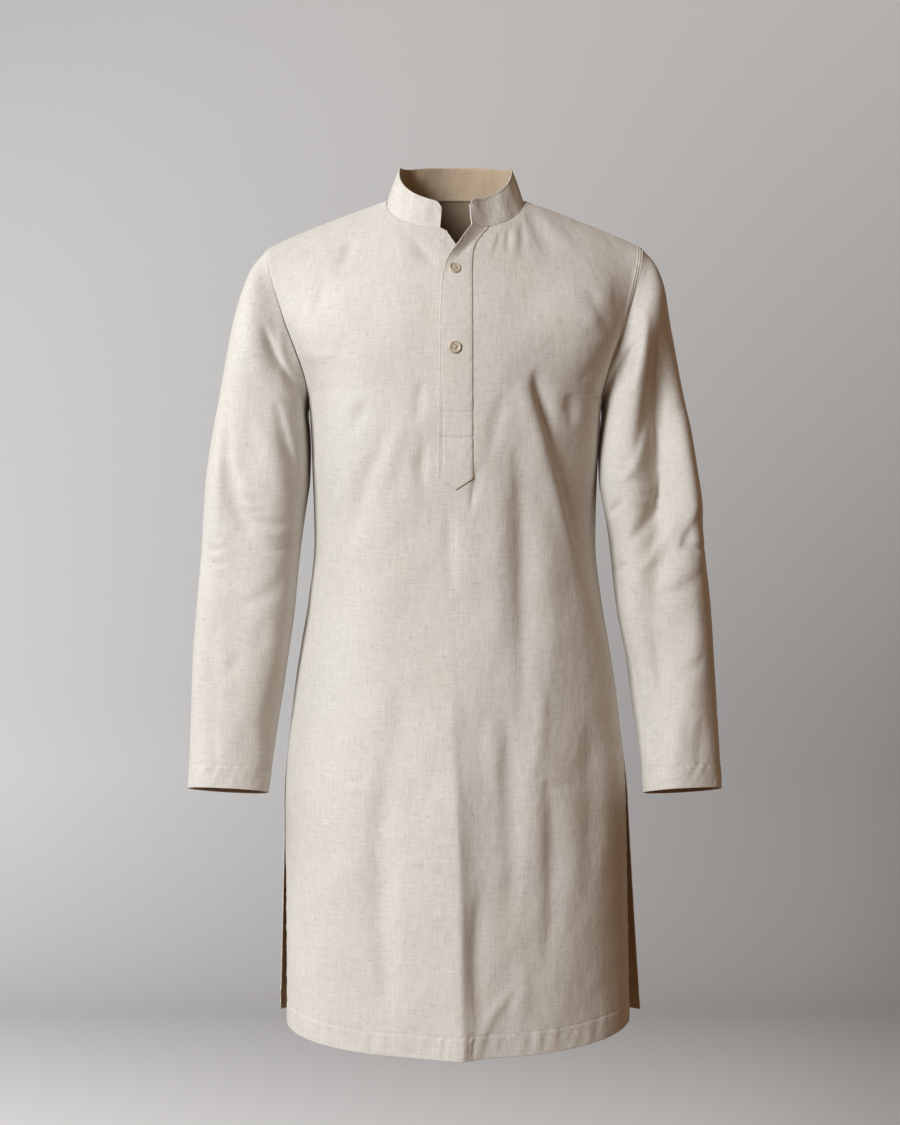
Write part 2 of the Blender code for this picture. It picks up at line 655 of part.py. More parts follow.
# Collar, standing on the rim of the neck: front, back, front, then the top of the over-placket
front_rim = front_walls[0][-1]
back_rim = back_walls[0][-1][::-1]
rim = np.concatenate(
    [
        front_rim[middle - NECK_STEPS : middle + 1][::-1],
        back_rim[middle - NECK_STEPS + 1 : middle + NECK_STEPS],
        front_rim[middle + 2 : middle + 3 + NECK_STEPS][::-1],
        over_walls[0][-1][::-1][2:],
    ]
)
rim[:, 2] += COLLAR_GAP
rim_run = np.concatenate([[0], np.cumsum(np.linalg.norm(np.diff(rim, axis=0), axis=1))])


def collar(run, share):
    """A point of the collar's outside: run along the neck seam in millimetres, share of its height."""
    run, share = np.broadcast_arrays(np.asarray(run, float), np.asarray(share, float))
    base = np.stack([np.interp(run, rim_run, rim[:, axis]) for axis in range(3)], -1)
    away = base * np.array([1, 1, 0]) - np.array([0, NECK_AXIS_Y, 0])
    away /= np.linalg.norm(away, axis=-1, keepdims=True)
    from_end = np.clip(np.minimum(run, rim_run[-1] - run) / COLLAR_CORNER, 0, 1)
    rounded = COLLAR_CORNER * (1 - np.sqrt(1 - (1 - from_end) ** 2))
    height = read(COLLAR, "height", run / rim_run[-1], "share") - rounded
    lean = (COLLAR_LEAN + COLLAR_SIDE_LEAN * away[..., :1] ** 2) * share[..., None]
    return base + (height * share)[..., None] * np.array([0, 0, 1]) - away * lean


collar_runs = sorted([*rim_run, *COLLAR_ENDS, *(rim_run[-1] - end for end in COLLAR_ENDS)])
collar_grid = np.meshgrid(collar_runs, COLLAR_SHARES)
collar_limits = (0, rim_run[-1], 0, 1)
collar_walls = wall_grid(collar, *collar_grid, COLLAR_REACH, collar_limits, facing=-1, wall=COLLAR_WALL)
add_piece("collar", shell_mesh("collar", *collar_walls), COLLAR_CLOTH, CLOTH_ROUGHNESS, kurta)


# Buttons: turned discs with a rim and four holes
def button_blank(name):
    radius = BUTTON_DIAMETER / 2
    profile = (
        (0, 0),
        (radius - BUTTON_EDGE, 0),
        (radius, BUTTON_EDGE),
        (radius, BUTTON_THICKNESS - BUTTON_EDGE),
        (radius - BUTTON_EDGE, BUTTON_THICKNESS),
        (radius - BUTTON_RIM, BUTTON_THICKNESS),
        (radius - BUTTON_RIM - BUTTON_EDGE, BUTTON_THICKNESS - BUTTON_DISH),
        (0, BUTTON_THICKNESS - BUTTON_DISH),
    )
    data = bpy.data.meshes.new(name)
    points = [(across * MM, 0, up * MM) for across, up in profile]
    data.from_pydata(points, [(i, i + 1) for i in range(len(points) - 1)], [])
    return data


def hole_cutter(name):
    data = bpy.data.meshes.new(name)
    mesh = bmesh.new()
    for turn in range(4):
        angle = math.radians(45 + 90 * turn)
        place = Vector((math.cos(angle), math.sin(angle), 0)) * (HOLE_SPACING / math.sqrt(2)) * MM
        bmesh.ops.create_cone(
            mesh,
            cap_ends=True,
            segments=HOLE_SIDES,
            radius1=HOLE_DIAMETER / 2 * MM,
            radius2=HOLE_DIAMETER / 2 * MM,
            depth=4 * BUTTON_THICKNESS * MM,
            matrix=Matrix.Translation(place),
        )
    mesh.to_mesh(data)
    mesh.free()
    cutter = bpy.data.objects.new(name, data)
    cutter.hide_render = True
    cutter.display_type = "WIRE"
    cutters.objects.link(cutter)
    return cutter


for name, height in BUTTON_HEIGHTS.items():
    button = add_piece(name, button_blank(name), BUTTON, BUTTON_ROUGHNESS, kurta)
    turning = button.modifiers.new("turning", "SCREW")
    turning.axis = "Z"
    turning.steps = TURNING_STEPS
    turning.render_steps = TURNING_STEPS
    turning.use_merge_vertices = True
    turning.merge_threshold = 1e-5
    turning.use_normal_calculate = True
    cutter = hole_cutter(name + "_holes")
    cutter.parent = button
    holes = button.modifiers.new("holes", "BOOLEAN")
    holes.operation = "DIFFERENCE"
    holes.solver = "EXACT"
    holes.object = cutter
    free = read(OVER_STRIP, "free", height)
    fixed = read(OVER_STRIP, "fixed", height)
    share = (BUTTON_X - free) / (fixed - free)
    normal = outward(over_strip, share, height, *BUTTON_REACH)
    seat = over_strip(share, height) + (2 * SEAM_GAP + WALL + BUTTON_STANDOFF) * normal
    button.location = Vector(seat) * MM
    button.rotation_mode = "QUATERNION"
    button.rotation_quaternion = Vector(normal).to_track_quat("Z", "Y")
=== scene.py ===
# %% [markdown]
# # A kurta tunic in slubbed linen
#
# A kurta is a long, straight tunic: a front and a back joined at the sides and shoulders, two set-in
# sleeves, a stand-up band collar, and a half placket with two buttons. This one is shown filled out, as
# it hangs when worn, with nobody in it. The solids of the model give the form; this script lays thin
# cloth on that form, adds the creases, seams, hems and stitching, and weaves the linen in the shader.

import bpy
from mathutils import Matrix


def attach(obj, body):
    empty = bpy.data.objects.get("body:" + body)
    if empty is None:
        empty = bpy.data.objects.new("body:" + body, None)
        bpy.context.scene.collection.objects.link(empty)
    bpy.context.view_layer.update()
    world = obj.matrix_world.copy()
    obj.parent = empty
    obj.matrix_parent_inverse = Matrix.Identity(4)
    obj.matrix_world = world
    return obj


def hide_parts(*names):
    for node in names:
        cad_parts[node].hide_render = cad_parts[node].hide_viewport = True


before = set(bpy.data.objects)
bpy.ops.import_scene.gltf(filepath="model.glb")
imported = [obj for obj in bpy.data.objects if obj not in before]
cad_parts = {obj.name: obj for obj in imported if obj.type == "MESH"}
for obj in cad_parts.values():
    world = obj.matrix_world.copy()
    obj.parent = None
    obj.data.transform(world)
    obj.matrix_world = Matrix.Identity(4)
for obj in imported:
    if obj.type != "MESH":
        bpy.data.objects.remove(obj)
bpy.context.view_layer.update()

# %% [markdown]
# ## Reading sizes from short tables
#
# A garment changes slowly from collar to hem, so a few named rows are enough and a smooth curve fills in
# between them. The curve must not overshoot a row, or the cloth would bulge where it should hang flat,
# so its slopes are the harmonic means of the steps on either side.

# %% Tables and a smooth reader
import math
from collections import namedtuple

import bmesh
import bpy
import numpy as np
from mathutils import Matrix, Vector

MM = 0.001
FRONT, BACK = -1, 1
LEFT, RIGHT = 1, -1


def read(table, column, at, key="height"):
    """One column of a table at any key: a smooth curve through its rows, without overshoot."""
    rows = sorted(table, key=lambda row: getattr(row, key))
    knots = np.array([getattr(row, key) for row in rows], float)
    values = np.array([getattr(row, column) for row in rows], float)
    step = np.diff(knots)
    pitch = np.diff(values) / step
    same_way = pitch[1:] * pitch[:-1] > 0
    joint = 2 * pitch[1:] * pitch[:-1] / np.where(same_way, pitch[1:] + pitch[:-1], np.inf)
    slope = np.concatenate([pitch[:1], joint, pitch[-1:]])
    place = np.clip(np.searchsorted(knots, at) - 1, 0, len(step) - 1)
    t = np.clip((at - knots[place]) / step[place], 0, 1)
    start = (1 + 2 * t) * (1 - t) ** 2 * values[place]
    end = t**2 * (3 - 2 * t) * values[place + 1]
    bend = t * (1 - t) * ((1 - t) * slope[place] - t * slope[place + 1])
    return start + end + bend * step[place]


def soft_step(share):
    share = np.clip(share, 0, 1)
    return share * share * (3 - 2 * share)


print("soft step at a quarter:", round(float(soft_step(0.25)), 3))

# %% [markdown]
# ## The form the cloth hangs on
#
# The body of the tunic is a stack of level ovals, wide at the chest, a little narrower at the waist and
# wide again at the hem. Above the armpit the cloth rolls back to the shoulder line. All sizes are in
# millimetres, from the middle of the neck at the height where the shoulder seams meet the collar.

# %% Body tables
ARMPIT = -240.0
SHOULDER_TIP = -57.0
SLIT_TOP = -607.0
FRONT_HEM = -977.0
BACK_HEM = -981.0
HEM_CORNER_RISE = 10.0
HEM_CORNER_FROM = 0.2
HEM_CORNER_FALL = 0.4
SLIT_FRONT = 32.0
SLIT_BACK = 34.0
BACK_SPREAD_LEFT = 24.0
BACK_SPREAD_RIGHT = 11.0
FRONT_SPREAD_LEFT = 3.0
FRONT_SPREAD_RIGHT = -5.5
FRONT_EDGE_POWER = 3.5
BACK_EDGE_POWER = 6
BACK_PARTING_POWER = 1.2
NECK_HALF_WIDTH = 82.0
NECK_SHARE = 0.4
FRONT_NECK_DROP = 46.0
FRONT_NECK_SQUARENESS = 2.3
BACK_NECK_RISE = 12.0
SHOULDER_HALF_WIDTH = 222.0
SHOULDER_TIP_Y = 5.0
FRONT_RIDGE_RISE = 15.0
BACK_RIDGE_RISE = 30.0
SHOULDER_ROLL = 200.0
FRONT_ROLL_POWER = 0.72
BACK_ROLL_POWER = 0.42
ARMHOLE_HALF_WIDTH = 173.0
FRONT_ARMHOLE_REACH = 60.0
BACK_ARMHOLE_REACH = 70.0
ARMHOLE_EDGE_POWER = 6
ARMPIT_EDGE_POWER = 24
ARMPIT_FADE = 0.35
ARMHOLE_ROUNDNESS = 0.9
CENTRE_SHARE = 0.06
OPENING_LEFT = 18.0
OPENING_RIGHT = 17.2
OPENING_FLARE = 19.0
FLARE_POWER = 1.3
FLARE_FROM = -82.0
NECK_CENTRE = -45.0
OPENING_BOTTOM = -264.0
print("hems at", FRONT_HEM, "and", BACK_HEM, "mm")

# %% [markdown]
# The trunk is a stack of level sections, each with its half width, its depths in front and behind, and
# how square it is. The shoulder seam and the armhole are lines of points.

# %% Body sections
Section = namedtuple("Section", "height half_width front_depth back_depth squareness")
TORSO = (
    Section(40, 292, 94, 116, 2.3),
    Section(-57, 266, 110, 119, 2.3),
    Section(-100, 248, 121, 120, 2.3),
    Section(-152, 222, 128, 120, 2.3),
    Section(-200, 189, 130, 119, 2.3),
    Section(-240, 173, 130, 117, 2.3),
    Section(-300, 170, 127, 110, 2.3),
    Section(-405, 167, 118, 98, 2.25),
    Section(-476, 174, 118, 103, 2.2),
    Section(-524, 182, 121, 109, 2.2),
    Section(-595, 192, 127, 117, 2.15),
    Section(-714, 201, 136, 126, 2.15),
    Section(-850, 201, 142, 131, 2.15),
    Section(-980, 201, 147, 134, 2.15),
)

ShoulderPoint = namedtuple("ShoulderPoint", "across height")
SHOULDER_SEAM = (
    ShoulderPoint(82, 0),
    ShoulderPoint(125, -15.5),
    ShoulderPoint(149, -25),
    ShoulderPoint(172, -34),
    ShoulderPoint(196, -44),
    ShoulderPoint(222, -57),
)

ArmholePoint = namedtuple("ArmholePoint", "height across")
ARMHOLE = (
    ArmholePoint(-57, 222),
    ArmholePoint(-80, 218.5),
    ArmholePoint(-110, 211),
    ArmholePoint(-128, 205.5),
    ArmholePoint(-152, 198),
    ArmholePoint(-180, 187.5),
    ArmholePoint(-205, 178.5),
    ArmholePoint(-222, 174.5),
    ArmholePoint(-240, 173),
)
print("the torso has", len(TORSO), "sections")


# %% [markdown]
# The trunk's depth is read between the sections, and near the top it rolls in to the shoulder seam.

# %% Depth of the body form
def ridge_height(face, x):
    """Height of the shoulder line, carried on over the neck opening."""
    x = np.abs(x)
    rise = FRONT_RIDGE_RISE if face == FRONT else BACK_RIDGE_RISE
    over_neck = rise * (1 - np.clip(x / NECK_HALF_WIDTH, 0, 1) ** 2)
    return np.where(x < NECK_HALF_WIDTH, over_neck, read(SHOULDER_SEAM, "height", x, "across"))


def neck_height(face, x):
    """Height of the neckline over the front or back panel."""
    share = np.clip(np.abs(x) / NECK_HALF_WIDTH, 0, 1)
    if face == BACK:
        return BACK_NECK_RISE * (1 - share**2)
    power = FRONT_NECK_SQUARENESS
    return -FRONT_NECK_DROP * (1 - share**power) ** (1 / power)


def depth_column(face):
    return "front_depth" if face == FRONT else "back_depth"


def body_depth(face, x, z):
    """Y of the smooth form: an oval section that rolls off towards the shoulder line."""
    squareness = read(TORSO, "squareness", z)
    share = np.clip(np.abs(x) / read(TORSO, "half_width", z), 0, 1)
    out = (1 - share**squareness) ** (1 / squareness)
    below_ridge = np.clip((ridge_height(face, x) - z) / SHOULDER_ROLL, 0, 1)
    power = FRONT_ROLL_POWER if face == FRONT else BACK_ROLL_POWER
    roll = (1 - (1 - below_ridge) ** 2) ** power
    outward_share = (np.abs(x) - NECK_HALF_WIDTH) / (SHOULDER_HALF_WIDTH - NECK_HALF_WIDTH)
    ridge_y = SHOULDER_TIP_Y * np.clip(outward_share, 0, 1) * (1 - below_ridge)
    return ridge_y + face * read(TORSO, depth_column(face), z) * out * roll


print("chest depth:", round(float(body_depth(BACK, 0.0, -200.0) - body_depth(FRONT, 0.0, -200.0))), "mm")

# %% [markdown]
# ## Creases
#
# Linen holds every fold it is given. A cloth simulation would drape a smooth sheet and lose them, so each
# crease is listed one by one: it starts at one place, passes through a second and dies out at a third. It
# stands out of the cloth by its rise, or sinks in where the rise is negative, and its lean makes one side
# steeper than the other. Places are read across and up the garment, as seen from the front.

# %% Crease curves
Crease = namedtuple("Crease", "x z via_x via_z to_x to_z half_width rise lean")
CREASE_PIECES = 12
CREASE_REACH = 2.6
CREASE_END_POWER = 1.0
CREASE_TIP = 0.4


def crease_rise(creases, x, z):
    """How far a set of creases lifts the cloth at each place."""
    x, z = np.broadcast_arrays(np.asarray(x, float), np.asarray(z, float))
    total = np.zeros(x.shape)
    share = np.linspace(0, 1, CREASE_PIECES + 1)[:, None]
    for crease in creases:
        start = np.array([crease.x, crease.z], float)
        end = np.array([crease.to_x, crease.to_z], float)
        pull = 2 * np.array([crease.via_x, crease.via_z], float) - (start + end) / 2
        line = (1 - share) ** 2 * start + 2 * share * (1 - share) * pull + share**2 * end
        reach = CREASE_REACH * crease.half_width * (1 + abs(crease.lean))
        low, high = line.min(0) - reach, line.max(0) + reach
        near = (x > low[0]) & (x < high[0]) & (z > low[1]) & (z < high[1])
        if not near.any():
            continue
        spot = np.stack([x[near], z[near]], -1)
        nearest = np.full(len(spot), np.inf)
        along = np.zeros(len(spot))
        side = np.zeros(len(spot))
        for i in range(CREASE_PIECES):
            step = line[i + 1] - line[i]
            off = spot - line[i]
            t = np.clip(off @ step / (step @ step), 0, 1)
            apart = np.hypot(*(off - t[:, None] * step).T)
            closer = apart < nearest
            nearest = np.where(closer, apart, nearest)
            along = np.where(closer, (i + t) / CREASE_PIECES, along)
            side = np.where(closer, np.sign(step[0] * off[:, 1] - step[1] * off[:, 0]), side)
        faded = np.sin(np.pi * along) ** CREASE_END_POWER
        width = crease.half_width * (1 + crease.lean * side) * (CREASE_TIP + (1 - CREASE_TIP) * faded)
        total[near] += crease.rise * np.exp(-((nearest / width) ** 2)) * faded
    return total


print("each crease is followed in", CREASE_PIECES, "pieces")

# %% [markdown]
# Between the placed creases the cloth is never quite flat. A few long, shallow waves, steeper across than
# down because the tunic hangs, keep the light moving over it. The generator is seeded, so the same waves
# come back each time.

# %% Slow waves
Wave = namedtuple("Wave", "across down phase height")
WAVE_LENGTHS = (46.0, 150.0)
HANGING_SHARE = 0.34


def slow_waves(seed, count, height):
    """Waves of mixed lengths whose heights add up to about the one given."""
    chance = np.random.default_rng(seed)
    waves = []
    for _ in range(count):
        length = chance.uniform(*WAVE_LENGTHS)
        turn = chance.normal(0, HANGING_SHARE)
        pitch = 2 * np.pi / length
        size = height / math.sqrt(count) * length / WAVE_LENGTHS[1]
        phase = chance.uniform(0, 2 * np.pi)
        waves.append(Wave(pitch * math.cos(turn), pitch * math.sin(turn), phase, size))
    return waves


def wave_rise(waves, x, z):
    return sum(wave.height * np.sin(wave.across * x + wave.down * z + wave.phase) for wave in waves)


FRONT_WAVES = slow_waves(3, 14, 1.3)
BACK_WAVES = slow_waves(5, 14, 1.8)
SLEEVE_WAVES = {LEFT: slow_waves(8, 12, 1.5), RIGHT: slow_waves(11, 12, 1.5)}
print("slow waves:", len(FRONT_WAVES), "in the front and", len(BACK_WAVES), "in the back")

# %% [markdown]
# The front has three families of creases. Short ones fan out from the collar, where the band holds the
# cloth. Drag lines run from the chest to the side of the waist, one of them deep. Long soft ones fall
# down the skirt. The back has fewer, in the same places a back pulls: across the shoulder blades, down
# the hollow of the spine, and in the skirt.

# %% Creases of the front and the back
FRONT_CREASES = (
    # fanning out from the collar
    Crease(53, -50, 49, -62, 42, -84, 3.4, -1.8, 0.2),
    Crease(47, -54, 43, -70, 34, -92, 3.0, 1.0, 0.0),
    Crease(62, -44, 61, -60, 58, -84, 3.2, -2.0, 0.0),
    Crease(70, -40, 69, -60, 66, -92, 4.0, 1.2, 0.0),
    Crease(77, -32, 78, -54, 76, -92, 4.6, -2.2, 0.1),
    Crease(84, -18, 98, -50, 110, -92, 9.0, -3.4, 0.2),
    Crease(92, -10, 118, -44, 136, -84, 8.0, 1.8, 0.0),
    Crease(-22, -66, -17, -63, -10, -60, 1.7, 1.1, 0.0),
    Crease(-21, -72, -15, -70, -8, -67, 1.7, 1.0, 0.0),
    Crease(-50, -60, -34, -80, -20, -96, 6.0, -1.6, -0.2),
    Crease(-62, -52, -58, -70, -50, -96, 7.0, 1.0, 0.0),
    # shoulders and armholes
    Crease(-119, -52, -126, -72, -138, -104, 8.0, -3.4, 0.3),
    Crease(-146, -104, -154, -124, -158, -150, 9.0, -2.4, 0.0),
    Crease(-186, -98, -180, -120, -170, -150, 7.0, -2.0, 0.0),
    Crease(-188, -186, -164, -196, -132, -196, 8.0, 2.2, 0.2),
    Crease(160, -26, 164, -130, 156, -250, 52.0, 13.0, 0.0),
    Crease(176, -96, 160, -138, 138, -176, 12.0, 2.6, 0.0),
    Crease(150, -118, 156, -142, 176, -176, 9.0, -3.6, 0.2),
    Crease(178, -176, 158, -206, 136, -226, 9.0, -2.4, 0.0),
    Crease(46, -180, 110, -182, 142, -190, 2.2, -0.7, 0.0),
    # drag lines below the chest, on the wearer's right
    Crease(-98, -246, -110, -266, -122, -288, 9.0, -2.6, 0.3),
    Crease(-74, -280, -104, -352, -126, -420, 15.0, -4.2, 0.2),
    Crease(-52, -262, -82, -330, -104, -392, 12.0, 2.2, 0.0),
    Crease(-33, -226, -40, -248, -42, -276, 5.5, -3.0, -0.2),
    Crease(-30, -292, -37, -322, -32, -352, 6.0, -3.2, -0.2),
    Crease(-46, -300, -50, -340, -44, -380, 8.0, 1.6, 0.0),
    Crease(-9, -372, -6, -410, -4, -470, 9.0, -2.2, 0.0),
    # drag lines below the chest, on the wearer's left
    Crease(88, -214, 98, -246, 116, -300, 9.0, -6.0, 0.25),
    Crease(88, -224, 116, -306, 166, -486, 13.0, -6.0, 0.25),
    Crease(116, -236, 148, -340, 176, -520, 24.0, -8.0, 0.0),
    Crease(72, -228, 96, -300, 136, -420, 15.0, 5.0, 0.0),
    Crease(130, -238, 133, -254, 136, -276, 7.0, -3.4, 0.0),
    Crease(54, -240, 46, -276, 36, -320, 9.0, -2.6, 0.0),
    Crease(28, -318, 22, -344, 16, -376, 5.0, -2.4, 0.2),
    Crease(66, -300, 76, -410, 72, -640, 13.0, -5.2, 0.15),
    Crease(44, -330, 48, -440, 40, -560, 15.0, 2.4, 0.0),
    Crease(100, -360, 108, -480, 104, -600, 14.0, 2.2, 0.0),
    # skirt
    Crease(-78, -640, -84, -800, -70, -950, 15.0, -5.0, 0.2),
    Crease(-60, -560, -66, -640, -80, -740, 14.0, -2.2, 0.0),
    Crease(-136, -689, -112, -686, -86, -690, 3.2, 1.1, 0.0),
    Crease(-68, -764, -40, -762, -12, -766, 3.0, 1.0, 0.0),
    Crease(-120, -500, -96, -520, -70, -528, 6.0, 1.4, 0.0),
    Crease(58, -590, 62, -700, 60, -840, 12.0, -4.2, 0.1),
    Crease(36, -600, 42, -640, 44, -700, 8.0, 2.0, 0.0),
    Crease(92, -560, 94, -620, 80, -680, 8.0, 2.2, 0.2),
    Crease(100, -660, 108, -760, 100, -900, 12.0, -4.6, 0.2),
    Crease(84, -688, 118, -682, 154, -686, 3.6, -1.2, 0.0),
    Crease(76, -634, 86, -626, 97, -614, 3.4, 1.4, 0.0),
    Crease(30, -770, 22, -860, 26, -950, 10.0, -3.2, 0.2),
    Crease(26, -960, 44, -926, 66, -900, 6.0, 2.4, 0.3),
    Crease(70, -860, 74, -910, 66, -960, 9.0, 1.8, 0.0),
    Crease(150, -600, 156, -700, 148, -820, 14.0, -3.0, 0.0),
)
BACK_CREASES = (
    Crease(-128, -76, -104, -120, -82, -190, 12.0, -3.2, 0.2),
    Crease(132, -72, 112, -128, 96, -200, 13.0, -3.6, -0.2),
    Crease(-20, -40, -12, -80, -16, -140, 9.0, -2.0, 0.0),
    Crease(38, -34, 44, -80, 58, -130, 8.0, -2.2, 0.0),
    Crease(-66, -170, -54, -330, -48, -560, 20.0, -5.0, 0.2),
    Crease(62, -190, 74, -360, 82, -600, 19.0, -4.6, -0.1),
    Crease(4, -300, 10, -420, 2, -560, 17.0, 2.6, 0.0),
    Crease(-158, -232, -124, -310, -86, -420, 14.0, -5.0, 0.2),
    Crease(-164, -270, -140, -340, -112, -400, 10.0, 2.6, 0.0),
    Crease(156, -230, 132, -320, 96, -440, 15.0, -5.4, -0.2),
    Crease(-60, -392, -20, -404, 30, -396, 7.0, -1.8, 0.0),
    Crease(-40, -430, 6, -440, 60, -428, 6.0, 1.4, 0.0),
    Crease(-96, -580, -104, -760, -98, -960, 18.0, 5.2, 0.1),
    Crease(-60, -620, -58, -780, -64, -960, 16.0, -4.0, 0.0),
    Crease(20, -540, 30, -740, 22, -966, 19.0, -5.4, 0.2),
    Crease(62, -640, 66, -800, 60, -940, 14.0, 3.2, 0.0),
    Crease(118, -600, 130, -780, 124, -960, 17.0, 5.4, -0.1),
    Crease(150, -640, 158, -760, 150, -900, 11.0, -3.4, 0.0),
    Crease(-36, -690, 0, -684, 44, -692, 3.4, -1.2, 0.0),
    Crease(40, -806, 76, -800, 104, -806, 3.2, 1.0, 0.0),
)

PRESSED_FROM = -500.0
PRESSED_FULL = -800.0
PRESSED_RISE = 13.0
PRESSED_WIDTH = {LEFT: 44.0, RIGHT: 60.0}
PRESSED_LIP = 5.0
PRESSED_LIP_WIDTH = {LEFT: 11.0, RIGHT: 40.0}
PRESSED_EDGE = 2.0
PRESSED_LINE = ((-500.0, -3.0), (-620.0, -3.0), (-752.0, 4.0), (-990.0, 8.0))


def pressed_crease(x, z):
    """The fold left down the middle of the front by storing it in half: a tent with a sharp top."""
    heights, places = zip(*reversed(PRESSED_LINE))
    off = x - np.interp(z, heights, places)
    apart = np.sqrt(off**2 + PRESSED_EDGE**2) - PRESSED_EDGE
    grown = soft_step((PRESSED_FROM - z) / (PRESSED_FROM - PRESSED_FULL))
    width = np.where(off > 0, PRESSED_WIDTH[LEFT], PRESSED_WIDTH[RIGHT])
    lip_width = np.where(off > 0, PRESSED_LIP_WIDTH[LEFT], PRESSED_LIP_WIDTH[RIGHT])
    return grown * (PRESSED_RISE * np.exp(-apart / width) + PRESSED_LIP * np.exp(-apart / lip_width))


def panel_rise(face, x, z):
    """All the creases and waves of the front or back."""
    if face == FRONT:
        return crease_rise(FRONT_CREASES, x, z) + pressed_crease(x, z) + wave_rise(FRONT_WAVES, x, z)
    return crease_rise(BACK_CREASES, x, z) + wave_rise(BACK_WAVES, x, z)


print(len(FRONT_CREASES), "creases in the front and", len(BACK_CREASES), "in the back")

# %% [markdown]
# ## The front and back
#
# Each panel is one piece of cloth. Its rows are level up to the armpit and then fan out to the neckline
# and the shoulder seam, which is how the weave runs in a real panel. At the armhole the cloth is drawn in
# to meet the sleeve, and below the slits the panels stand a little apart. The front is cut open down to
# the bottom of the placket.

# %% Points of the panels
SEAM_GAP = 0.3
SIDE_KEPT_FROM = 0.9


def torso(face, across, along):
    """A point of a panel: across -1 to 1 between its sides; along 0 hem, 1 armpit, 2 shoulder and neck."""
    across, along = np.broadcast_arrays(np.asarray(across, float), np.asarray(along, float))
    core = CENTRE_SHARE if face == FRONT else 0.0
    size = np.clip((np.abs(across) - core) / (1 - core), 0, 1)
    side = np.where(across < 0, -1.0, 1.0)
    lift = (1 - np.cos(np.pi * np.clip(along - 1, 0, 1))) / 2
    opening = np.where(side > 0, OPENING_LEFT, OPENING_RIGHT) if face == FRONT else 0.0

    # the shoulder seam and neckline
    neck_share = np.clip(size / NECK_SHARE, 0, 1)
    shoulder_share = np.clip((size - NECK_SHARE) / (1 - NECK_SHARE), 0, 1)
    flare = np.where(side > 0, OPENING_FLARE, 0.0) if face == FRONT else 0.0
    top_x = opening + (NECK_HALF_WIDTH - opening) * neck_share
    top_x = top_x + (SHOULDER_HALF_WIDTH - NECK_HALF_WIDTH) * shoulder_share
    rim_x = np.where(size < NECK_SHARE, top_x + flare * (1 - neck_share), top_x)
    on_shoulder = read(SHOULDER_SEAM, "height", rim_x, "across")
    top_z = np.where(size < NECK_SHARE, neck_height(face, rim_x), on_shoulder)

    # heights: level lines up to the armpit, then spread to the seams above
    hem = FRONT_HEM if face == FRONT else BACK_HEM
    fall = np.clip(1 - along, 0, 1)
    near_side = soft_step((size - HEM_CORNER_FROM) / (1 - HEM_CORNER_FROM))
    near_hem = soft_step((fall - HEM_CORNER_FALL) / (1 - HEM_CORNER_FALL))
    body_z = ARMPIT + (hem - ARMPIT) * fall + HEM_CORNER_RISE * near_side * near_hem
    z = np.where(along > 1, ARMPIT + (top_z - ARMPIT) * lift, body_z)

    # widths
    edge_z = ARMPIT + (SHOULDER_TIP - ARMPIT) * lift
    edge_x = read(ARMHOLE, "across", edge_z)
    spread = (edge_x - ARMHOLE_HALF_WIDTH) / (SHOULDER_HALF_WIDTH - ARMHOLE_HALF_WIDTH)
    level = np.minimum(z, ARMPIT)
    reach = np.sin(size * np.pi / 2) ** (2 / read(TORSO, "squareness", level))
    body_x = opening + (read(TORSO, "half_width", level) - opening) * reach
    x = body_x + (top_x - body_x) * spread
    flared = np.clip((z - FLARE_FROM) / (NECK_CENTRE - FLARE_FROM), 0, 1) ** FLARE_POWER
    x = x + flare * (1 - neck_share) * flared
    if face == FRONT:
        x = x * np.clip(np.abs(across) / core, 0, 1)

    # depths, made to meet the armhole exactly
    y = body_depth(face, x, z)
    armhole_reach = FRONT_ARMHOLE_REACH if face == FRONT else BACK_ARMHOLE_REACH
    round_armhole = np.sin(np.pi * np.clip(along - 1, 0, 1)) ** ARMHOLE_ROUNDNESS
    armhole_y = SHOULDER_TIP_Y * lift + face * armhole_reach * round_armhole
    edge_y = body_depth(face, edge_x, edge_z)
    from_armpit = soft_step((along - 1) / ARMPIT_FADE)
    drawn_in = size ** (ARMHOLE_EDGE_POWER + ARMPIT_EDGE_POWER * (1 - from_armpit))
    y = y + np.where(along > 1, (armhole_y - edge_y) * drawn_in, 0.0)

    # below the slits the panels stand apart
    parted = np.clip((SLIT_TOP - z) / (SLIT_TOP - hem), 0, 1)
    if face == FRONT:
        off_side = parted * size**FRONT_EDGE_POWER
        y = y - SLIT_FRONT * off_side
        x = x + np.where(side > 0, FRONT_SPREAD_LEFT, FRONT_SPREAD_RIGHT) * off_side
    else:
        off_side = parted**BACK_PARTING_POWER * size**BACK_EDGE_POWER
        y = y + SLIT_BACK * off_side
        x = x + np.where(side > 0, BACK_SPREAD_LEFT, BACK_SPREAD_RIGHT) * off_side
    x = x * side

    # creases push the cloth straight out of its section
    half_width, half_depth = read(TORSO, "half_width", z), read(TORSO, depth_column(face), z)
    away = np.stack([x / half_width**2, y / half_depth**2], -1)
    away /= np.maximum(np.linalg.norm(away, axis=-1, keepdims=True), 1e-9)
    at_side = soft_step((size - SIDE_KEPT_FROM) / (1 - SIDE_KEPT_FROM))
    keep_seams = 1 - np.where(along > 1, size**ARMHOLE_EDGE_POWER, at_side)
    rise = panel_rise(face, x, z) * keep_seams
    y = y + face * SEAM_GAP / 2
    return np.stack([x + away[..., 0] * rise, y + away[..., 1] * rise, z], -1)


